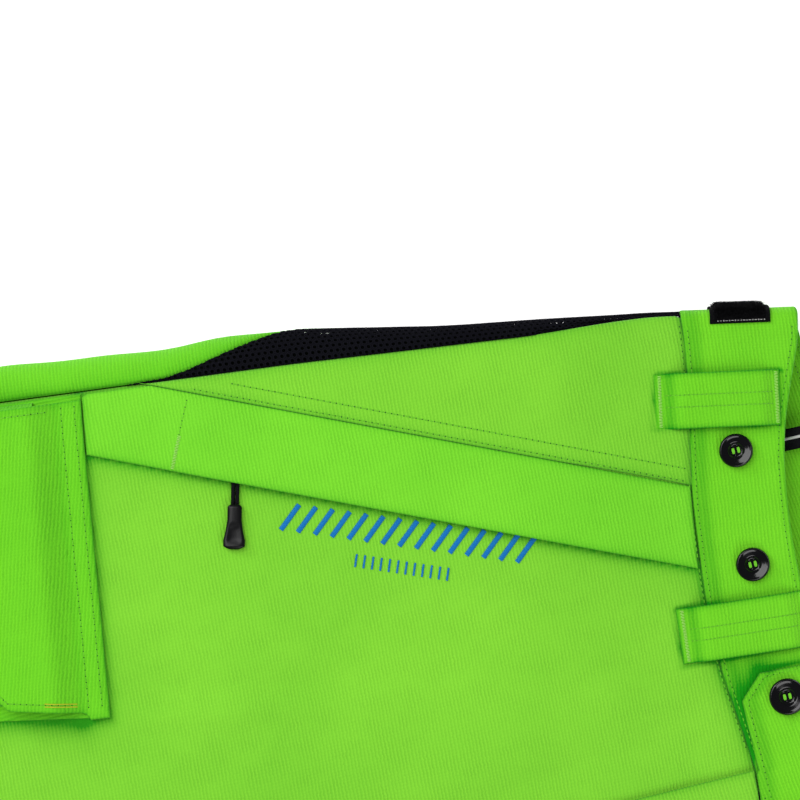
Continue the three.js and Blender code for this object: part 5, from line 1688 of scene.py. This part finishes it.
# ---- Thigh pockets ------------------------------------------------------------------------------
@dataclass
class ThighPocket:
    """The flapped pocket on the thigh: a stitched band, a flap, and bellows below."""

    side: Side
    seam_x: float = -286.5
    slope: float = 0.137
    band: float = 11.0
    flap_length: float = 60.0
    chamfer: float = 22.0
    flap_width: float = 160.0
    taper: float = 0.2
    mouth: float = 24.0
    end: float = 205.0
    width: float = 163.0
    top: float = 9.2
    cloth: float = 1.4
    flap_low: float = 2.2
    flap_high: float = 11.6

    def at(self, inwards: Array, down: Array) -> tuple[Array, Array]:
        """Turns places inwards from the outseam and hemwards from the seam line into x and y."""
        x = self.seam_x - inwards * self.slope - down
        return x, G.outseam(x) - inwards

    def host(self, inwards: Array, down: Array, lift: Array) -> Array:
        """Returns points over the thigh at places inwards and down."""
        return G.front(*self.at(inwards, down), lift)

    def far(self, down: Array) -> Array:
        """Returns the pocket's inner edge, which is drawn in a little under the flap."""
        return self.width - 0.12 * down - 6.5 * bell(down, 52, 42)

    def flap_span(self, down: Array) -> tuple[Array, Array]:
        """Returns the flap's two edges, which run in together where its corners are cut off."""
        past = np.clip(down - (self.band + self.flap_length - self.chamfer), 0, None)
        band_end = 3.5 * (1 - smoothstep(down, self.band - 1.5, self.band + 1))
        drawn_in = self.taper * np.clip(down - self.band, 0, None)
        return 4 + past, self.flap_width - drawn_in - past + band_end

    def flap_lift(self, down: Array) -> Array:
        """Returns the flap's underside: down on the seam, then up over the pocket."""
        return self.flap_low + (self.flap_high - self.flap_low) * smoothstep(down - self.band, 0.5, 17)

    def ripple(self, inwards: Array, down: Array) -> Array:
        """Returns the flap's slight waves, which grow away from its seam."""
        return 0.5 * np.sin(inwards / 15 + down / 23) * smoothstep(down, 22, 50)

    def height(self, share: Array, away: Array) -> Array:
        """Returns the pocket's height at a share of its width and a distance from its edges."""
        full = np.sin(math.pi * np.clip(share, 0, 1)) ** 0.6
        return self.top * rounded(away, 4.0) * (0.86 + 0.14 * full)

    def pocket(self) -> None:
        """Builds the pocket's front and bellows, a soft box that is open under the flap."""
        word = self.side.word
        piece = Piece.on("thigh_pocket_body", self.side)
        down = stations(self.mouth, self.end - self.mouth, 2.8, 2.0)
        ends = np.linspace(0, 0.07, 14)[:-1], np.linspace(0.93, 1, 14)[1:]
        share = np.concatenate([ends[0], np.linspace(0.07, 0.93, 50), ends[1]])
        near, far = 2 + 0 * down, self.far(down)
        inwards = near[:, None] + (far - near)[:, None] * share[None, :]
        plan_down = np.broadcast_to(down[:, None], inwards.shape)
        from_side = np.minimum(inwards - near[:, None], far[:, None] - inwards)
        from_end = self.end - plan_down
        away = np.minimum(from_side, from_end)
        across = (inwards - near[:, None]) / (far - near)[:, None]
        soft = 0.8 * np.sin(plan_down / 17 + inwards / 29) * np.sin(inwards / 21) * smoothstep(away, 2, 20)
        height = self.height(across, away) + soft * 0.7
        pleat = -1.3 * np.exp(-(((away - 1.0) / 0.7) ** 2))
        top = self.host(inwards, plan_down, np.maximum(height + pleat, 0.5))
        under = np.maximum(height - self.cloth, 0.35) * (away > 0) + 0.35 * (away <= 0)
        bottom = self.host(inwards, plan_down, under)
        cloth = pair(0.2 * inwards - plan_down, inwards)
        # Painted shade towards the pocket's edges.
        piece.shell(top[:, ::-1], bottom[:, ::-1], cloth[:, ::-1], (0.35 * np.exp(-away / 4))[:, ::-1])
        down = stations(0, self.end, 4, 1.2)
        edges = (0 * down + 1.0, down), (self.width + 1 - 0.12 * down, down)
        patch(piece, self.host, between(*edges, spread(160, 4, 1.2))[:, ::-1], 0.3, 1.1, 1.2)
        piece.build(SHADED_LIME, replaces=["thigh_pocket_" + word])
        thread = Piece.on("thigh_pocket_stitches", self.side)
        rows = np.linspace(self.mouth + 4, self.end - 4, 80)
        sides = pair(6.5, rows), pair(self.far(rows) - 4.5, rows)
        foot = line((8.0, self.end - 4.5), (self.width - 0.12 * self.end - 6, self.end - 4.5))
        top_edge = line((10.0, self.mouth + 4), (self.width - 16, self.mouth + 4))
        for path in (*sides, foot, top_edge):
            far = self.far(path[:, 1])
            near_edge = np.minimum.reduce([path[:, 0] - 2, far - path[:, 0], self.end - path[:, 1]])
            share = (path[:, 0] - 2) / (far - 2)
            STITCH.sew(thread, self.host, path, self.height(share, near_edge) + 0.05)
        thread.build(THREAD)

    def flap(self) -> None:
        """Builds the flap from its sewn band down, bent up at the seam over the pocket."""
        word = self.side.word
        body = "thigh_flap_" + word
        piece = Piece.on("flap_cloth", self.side)
        length = self.band + self.flap_length
        down = stations(0, length, 2.0, 1.3)
        near, far = self.flap_span(down)
        plan = between((near, down), (far, down), spread(150, 2.4, 1.3))
        away = edge_distance(plan)
        low = self.flap_lift(plan[..., 1]) + self.ripple(plan[..., 0], plan[..., 1])
        high = low + self.cloth * (0.25 + 0.75 * rounded(away, 1.3))
        cloth = pair(0.2 * plan[..., 0] - plan[..., 1], plan[..., 0])
        # Painted shade towards the flap's edges and along the hinge just below its band.
        tone = 0.4 * np.exp(-away / 1.6) + 0.15 * bell(plan[..., 1] - self.band, 2.0, 2.2)
        points = [over(self.host, plan, lift)[:, ::-1] for lift in (high, low)]
        piece.shell(*points, cloth[:, ::-1], tone[:, ::-1])
        whole = piece.build(SHADED_LIME, replaces=["thigh_flap_" + word])
        hinge = self.host(np.array(80.0), np.array(self.band + 0.4), np.array(2.0)) * [1, self.side.value, 1]
        whole.parent = None
        whole.matrix_world.identity()
        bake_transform(whole)
        thread = Piece.on("flap_stitches", self.side)
        rows = np.linspace(self.band + 7, length - 4, 50)
        near, far = self.flap_span(rows)
        foot_end = self.flap_width - self.taper * self.flap_length - self.chamfer
        foot = line((4 + self.chamfer, length - 4), (foot_end, length - 4))
        for path in (pair(near + 4, rows), foot, pair(far - 4, rows)):
            lift = self.flap_lift(path[:, 1]) + self.ripple(path[:, 0], path[:, 1])
            STITCH.sew(thread, self.host, path, lift + self.cloth)
        thread.build(THREAD, body)
        tack = Piece.on("flap_tacks", self.side)
        down = np.linspace(self.band + 4, self.band + 20, 24)
        for inset in (3.2, 4.6):
            lifts = self.flap_lift(down) + self.cloth + 0.15
            tack.tubes(self.host(self.flap_span(down)[1] - inset, down, lifts)[None], 0.3, 6)
        tack.build(YELLOW, body)
        sewn = Piece.on("flap_band_stitches", self.side)
        for row in (3.4, self.band - 0.9):
            path = line((7.0, row), (self.flap_width - 3, row))
            STITCH.sew(sewn, self.host, path, self.flap_low + self.cloth)
        sewn.build(THREAD)

    def tapes(self) -> None:
        """Builds the hook tape under the flap and the loop tape on the pocket."""
        word = self.side.word
        end = self.band + 0.4 + self.flap_length - 6
        middle = (4 + self.flap_width) / 2 - 4
        parts = (
            ("hook_tape_under_flap_", 10.8, HOOKS, "thigh_flap_" + word, "flap_hook_tape_" + word),
            ("loop_tape_on_pocket_", 9.75, PILE, "root", "pocket_loop_tape_" + word),
        )
        for name, lift, finish, body, node in parts:
            piece = Piece(name + word, self.side)
            down = stations(end - 22, 22, 1.5, 0.6)
            edges = ((middle + reach + 0 * down, down) for reach in (-45, 45))
            plan = between(*edges, spread(90, 2.5, 0.6))
            patch(piece, self.host, plan[:, ::-1], lift, 0.8, 0.6)
            piece.build(finish, body, [node])

    def build(self) -> None:
        """Builds the whole pocket."""
        self.pocket()
        self.flap()
        self.tapes()


# ---- Ankles, back and embroidery ------------------------------------------------------------------
@dataclass
class Ankle:
    """The abrasion patch, the hem tab and the wire lace hook."""

    side: Side
    reach: float = 78.0
    length: float = 120.0
    hook_y: float = 181.0

    def host(self, x: Array, share: Array, lift: Array) -> Array:
        """Returns points round the inner ankle, from the front at 0 to the back at 3, in even parts."""
        seam = G.inseam(x)
        front = G.front(x, seam + self.reach * np.clip(1 - share, 0, 1), lift)
        bend = G.inner(x, np.clip(share - 1, 0, 1), lift)
        back = np.stack([x, seam + self.reach * np.clip(share - 2, 0, 1), G.low(x) - lift], -1)
        return np.where((share < 1)[..., None], front, np.where((share < 2)[..., None], bend, back))

    def hem_step(self, x: Array) -> Array:
        """Returns how much higher the patch lies on the turned hem."""
        return 0.95 * (1 - smoothstep(x, G.hem + 20, G.hem + 24))

    def build(self) -> None:
        """Builds the patch with its double rows, the tab and the hook."""
        word = self.side.word
        piece = Piece.on("ankle_guard", self.side)
        x = stations(G.hem + 3, self.length, 3, 1.2)
        parts = np.linspace(0, 1, 30)[:-1], np.linspace(1, 2, 16)[:-1], np.linspace(2, 3, 16)
        plan = grid(x, np.concatenate(parts))
        grid_x, grid_s = plan[..., 0], plan[..., 1]
        run = np.interp(grid_s, [0, 1, 2, 3], [0, self.reach, self.reach + 30, 2 * self.reach + 30])
        away = np.minimum.reduce([grid_x - x[0], x[-1] - grid_x, run, run[0, -1] - run])
        low = 0.35 + self.hem_step(grid_x) * (grid_s < 1.5)
        high = low + 1.15 * (0.25 + 0.75 * rounded(away, 1.2))
        high = np.where(grid_s > 1.6, np.minimum(high, 1.55), high)
        faces = (over(self.host, plan, lift)[:, ::-1] for lift in (high, low))
        piece.shell(*faces, pair(grid_x, run)[:, ::-1])
        piece.build(WEBBING, replaces=["ankle_patch_" + word])
        thread = Piece.on("ankle_stitches", self.side)
        for inset in (3.0, 6.5):
            rows = np.linspace(x[0] + 4, x[-1] - inset, 50)
            shares = np.linspace(inset / self.reach, 1.0, 60)
            for path in (pair(rows, inset / self.reach), pair(x[-1] - inset, shares)):
                self.sew(thread, path)
        thread.build(THREAD)
        self.hook()

    def sew(self, thread: Piece, path: Array) -> None:
        """Sews a row on the front part of the patch, measured in millimetres."""
        x, share = path[:, 0], path[:, 1]
        places = pair(x, G.inseam(x) + self.reach * (1 - share))
        STITCH.sew(thread, G.front, places, 1.55 + self.hem_step(x))

    def hook(self) -> None:
        """Builds the webbing tab sewn to the hem and the wire hook that turns in it."""
        word = self.side.word
        tab = Piece.on("hem_webbing", self.side)
        plan = grid(stations(G.hem - 6.4, 33.5, 1.2, 0.6), stations(self.hook_y - 4.3, 8.6, 1.0, 0.6))
        away = edge_distance(plan)
        curl = 1.6 * np.sqrt(np.clip(1 - ((plan[..., 0] - (G.hem - 4.65)) / 2.0) ** 2, 0, 1))
        lift = np.where(plan[..., 0] < G.hem - 2.6, curl, 1.3)
        base = flat_front(np.clip(plan[..., 0], G.hem, None), plan[..., 1])
        base[..., 0] = plan[..., 0]
        high = lift + 1.0 * (0.3 + 0.7 * rounded(away, 0.6))
        tab.shell(*(base + [0, 0, 1] * height[..., None] for height in (high, lift)), plan)
        tab.build(WEBBING, replaces=["hook_tab_" + word])
        hook = Piece.on("lace_hook_wire", self.side)
        x0, z0 = G.hem - 3 - 1.25 - 0.4, float(G.thickness(G.hem)) + 1
        t = np.linspace(0, 2 * math.pi, 90)
        half = 5.8
        wire_x = x0 - 7.8 + 7.8 * np.sign(np.cos(t)) * np.abs(np.cos(t)) ** 0.6
        wire_y = self.hook_y + half * np.sign(np.sin(t)) * np.abs(np.sin(t)) ** 0.6
        wire_z = z0 + 1.6 * smoothstep(x0 - wire_x, 9, 16)
        hook.tubes(np.stack([wire_x, wire_y, wire_z], -1)[None], 1.15, 10)
        hook.build(METAL, "lace_hook_" + word, ["lace_hook_" + word])


@dataclass
class Embroidery:
    """A plain row of slanted satin-stitched bars with a row of small ones below it."""

    side: Side = Side.RIGHT
    bars: int = 15
    dashes: int = 12

    def bar(self, piece: Piece, middle: Array, length: float, width: float, degrees: float) -> None:
        """Adds one satin bar: a low mound of parallel threads laid across it.

        Args:
            piece: The piece that it is added to.
            middle: The bar's middle in the plan.
            length: Its length.
            width: Its width.
            degrees: Its direction in the plan.
        """
        ahead = np.array(heading(degrees))
        beside = np.array([-ahead[1], ahead[0]])
        count = int(length / 0.42)
        along = np.linspace(-length / 2, length / 2, count)
        share = np.linspace(-0.5, 0.5, 6)
        wobble = 0.12 * np.sin(np.arange(count) * 2.4)
        across = share[None, :, None] * width + wobble[:, None, None]
        places = middle + along[:, None, None] * ahead + across * beside
        crown = 0.5 * np.sqrt(np.clip(1 - (2 * share) ** 2, 0, 1)) + 0.05
        piece.tubes(over(G.front, places, crown[None, :]), 0.27, 5, 0.9)

    def build(self) -> None:
        """Builds both rows."""
        piece = Piece("embroidered_bars", self.side)
        start, end = np.array([-203.0, 180.0]), np.array([-84.0, 133.5])
        slant = math.degrees(math.atan2(end[1] - start[1], end[0] - start[0]))
        for k in range(self.bars):
            middle = start + (end - start) * (k + 0.5) / self.bars
            self.bar(piece, middle, 15.0, 3.0, slant + 62)
        low_start, low_end = np.array([-174.0, 150.5]), np.array([-127.0, 131.5])
        for k in range(self.dashes):
            middle = low_start + (low_end - low_start) * (k + 0.5) / self.dashes
            self.bar(piece, middle, 6.0, 1.1, slant + 90)
        piece.build(BLUE)


def rear_pocket() -> None:
    """Builds the rear pocket's patch under the back."""
    low, high = node_box("rear_pocket")
    piece = Piece("rear_pocket_cloth")
    flat_patch(piece, low, high, high[2] - low[2])
    piece.build(LIME, replaces=["rear_pocket"])


# ---- Studio -------------------------------------------------------------------------------------
@dataclass
class Studio:
    """A white floor, soft light and a camera that looks straight down, turned as the garment lies."""

    aim: tuple[float, float] = (-132.0, 222.7)
    field_mm: float = 400.0
    height: float = 1.7
    turn: float = 13.4
    world: float = 0.478
    glossy_world: float = 0.06

    def floor(self) -> None:
        """Makes the pale floor."""
        mesh = bpy.data.meshes.new("floor")
        size = 8.0
        corners = [(-size, -size, 0), (size, -size, 0), (size, size, 0), (-size, size, 0)]
        mesh.from_pydata(corners, [], [(0, 1, 2, 3)])
        nodes = Nodes("white_floor")
        nodes.shader.inputs["Base Color"].default_value = (0.93, 0.93, 0.93, 1)
        nodes.shader.inputs["Roughness"].default_value = 0.9
        nodes.shader.inputs["Emission Color"].default_value = (1, 1, 1, 1)
        nodes.shader.inputs["Emission Strength"].default_value = 0.45
        mesh.materials.append(nodes.material)
        floor = bpy.data.objects.new("floor", mesh)
        bpy.context.scene.collection.objects.link(floor)

    def light(self, name: str, place: tuple[float, float, float], size: float, power: float) -> None:
        """Makes a square soft light that faces the garment."""
        data = bpy.data.lights.new(name, "AREA")
        data.shape, data.size, data.energy = "SQUARE", size, power
        lamp = bpy.data.objects.new(name, data)
        target = np.array([(self.aim[0] + SHIFT) * MM, self.aim[1] * MM, 0.0])
        away = np.array(place)
        lamp.location = target + away
        direction = -away / np.linalg.norm(away)
        pitch = math.acos(-direction[2])
        lamp.rotation_euler = (pitch, 0, math.atan2(direction[1], direction[0]) - math.pi / 2)
        bpy.context.scene.collection.objects.link(lamp)

    def camera(self) -> None:
        """Makes the camera."""
        data = bpy.data.cameras.new("camera")
        data.sensor_width = 36.0
        data.lens = 36.0 * self.height / (self.field_mm * MM)
        data.clip_end = 50
        camera = bpy.data.objects.new("camera", data)
        camera.location = ((self.aim[0] + SHIFT) * MM, self.aim[1] * MM, self.height + 0.035)
        camera.rotation_euler = (0, 0, -math.radians(self.turn))
        bpy.context.scene.collection.objects.link(camera)
        bpy.context.scene.camera = camera

    def build(self) -> None:
        """Sets up the studio."""
        self.floor()
        self.camera()
        world = bpy.data.worlds.new("studio")
        world.use_nodes = True
        world.node_tree.nodes["Background"].inputs[0].default_value = (1, 1, 1, 1)
        path = world.node_tree.nodes.new("ShaderNodeLightPath")
        dim = world.node_tree.nodes.new("ShaderNodeMath")
        dim.operation = "MULTIPLY_ADD"
        world.node_tree.links.new(path.outputs["Is Glossy Ray"], dim.inputs[0])
        dim.inputs[1].default_value, dim.inputs[2].default_value = self.glossy_world - self.world, self.world
        world.node_tree.links.new(dim.outputs[0], world.node_tree.nodes["Background"].inputs[1])
        bpy.context.scene.world = world
        bpy.context.scene.view_settings.view_transform = "Standard"
        self.light("key", (-0.5, 0.62, 1.75), 1.3, 20.0)
        self.light("side", (-0.9, 1.1, 0.9), 0.5, 6.0)
        self.light("fill", (0.4, -1.3, 1.2), 0.9, 8.0)


def main() -> None:
    """Builds the studio and the garment's sub-assemblies in order."""
    logging.basicConfig(level=logging.INFO, format="%(message)s")
    Studio().build()
    for side in Side:
        Legs(side).build()
        HandPocket(side).build()
        ThighPocket(side).build()
        Ankle(side).build()
    Waist().build()
    Fly().build()
    Embroidery().build()
    rear_pocket()
    bpy.context.view_layer.update()


if __name__ == "__main__":
    main()
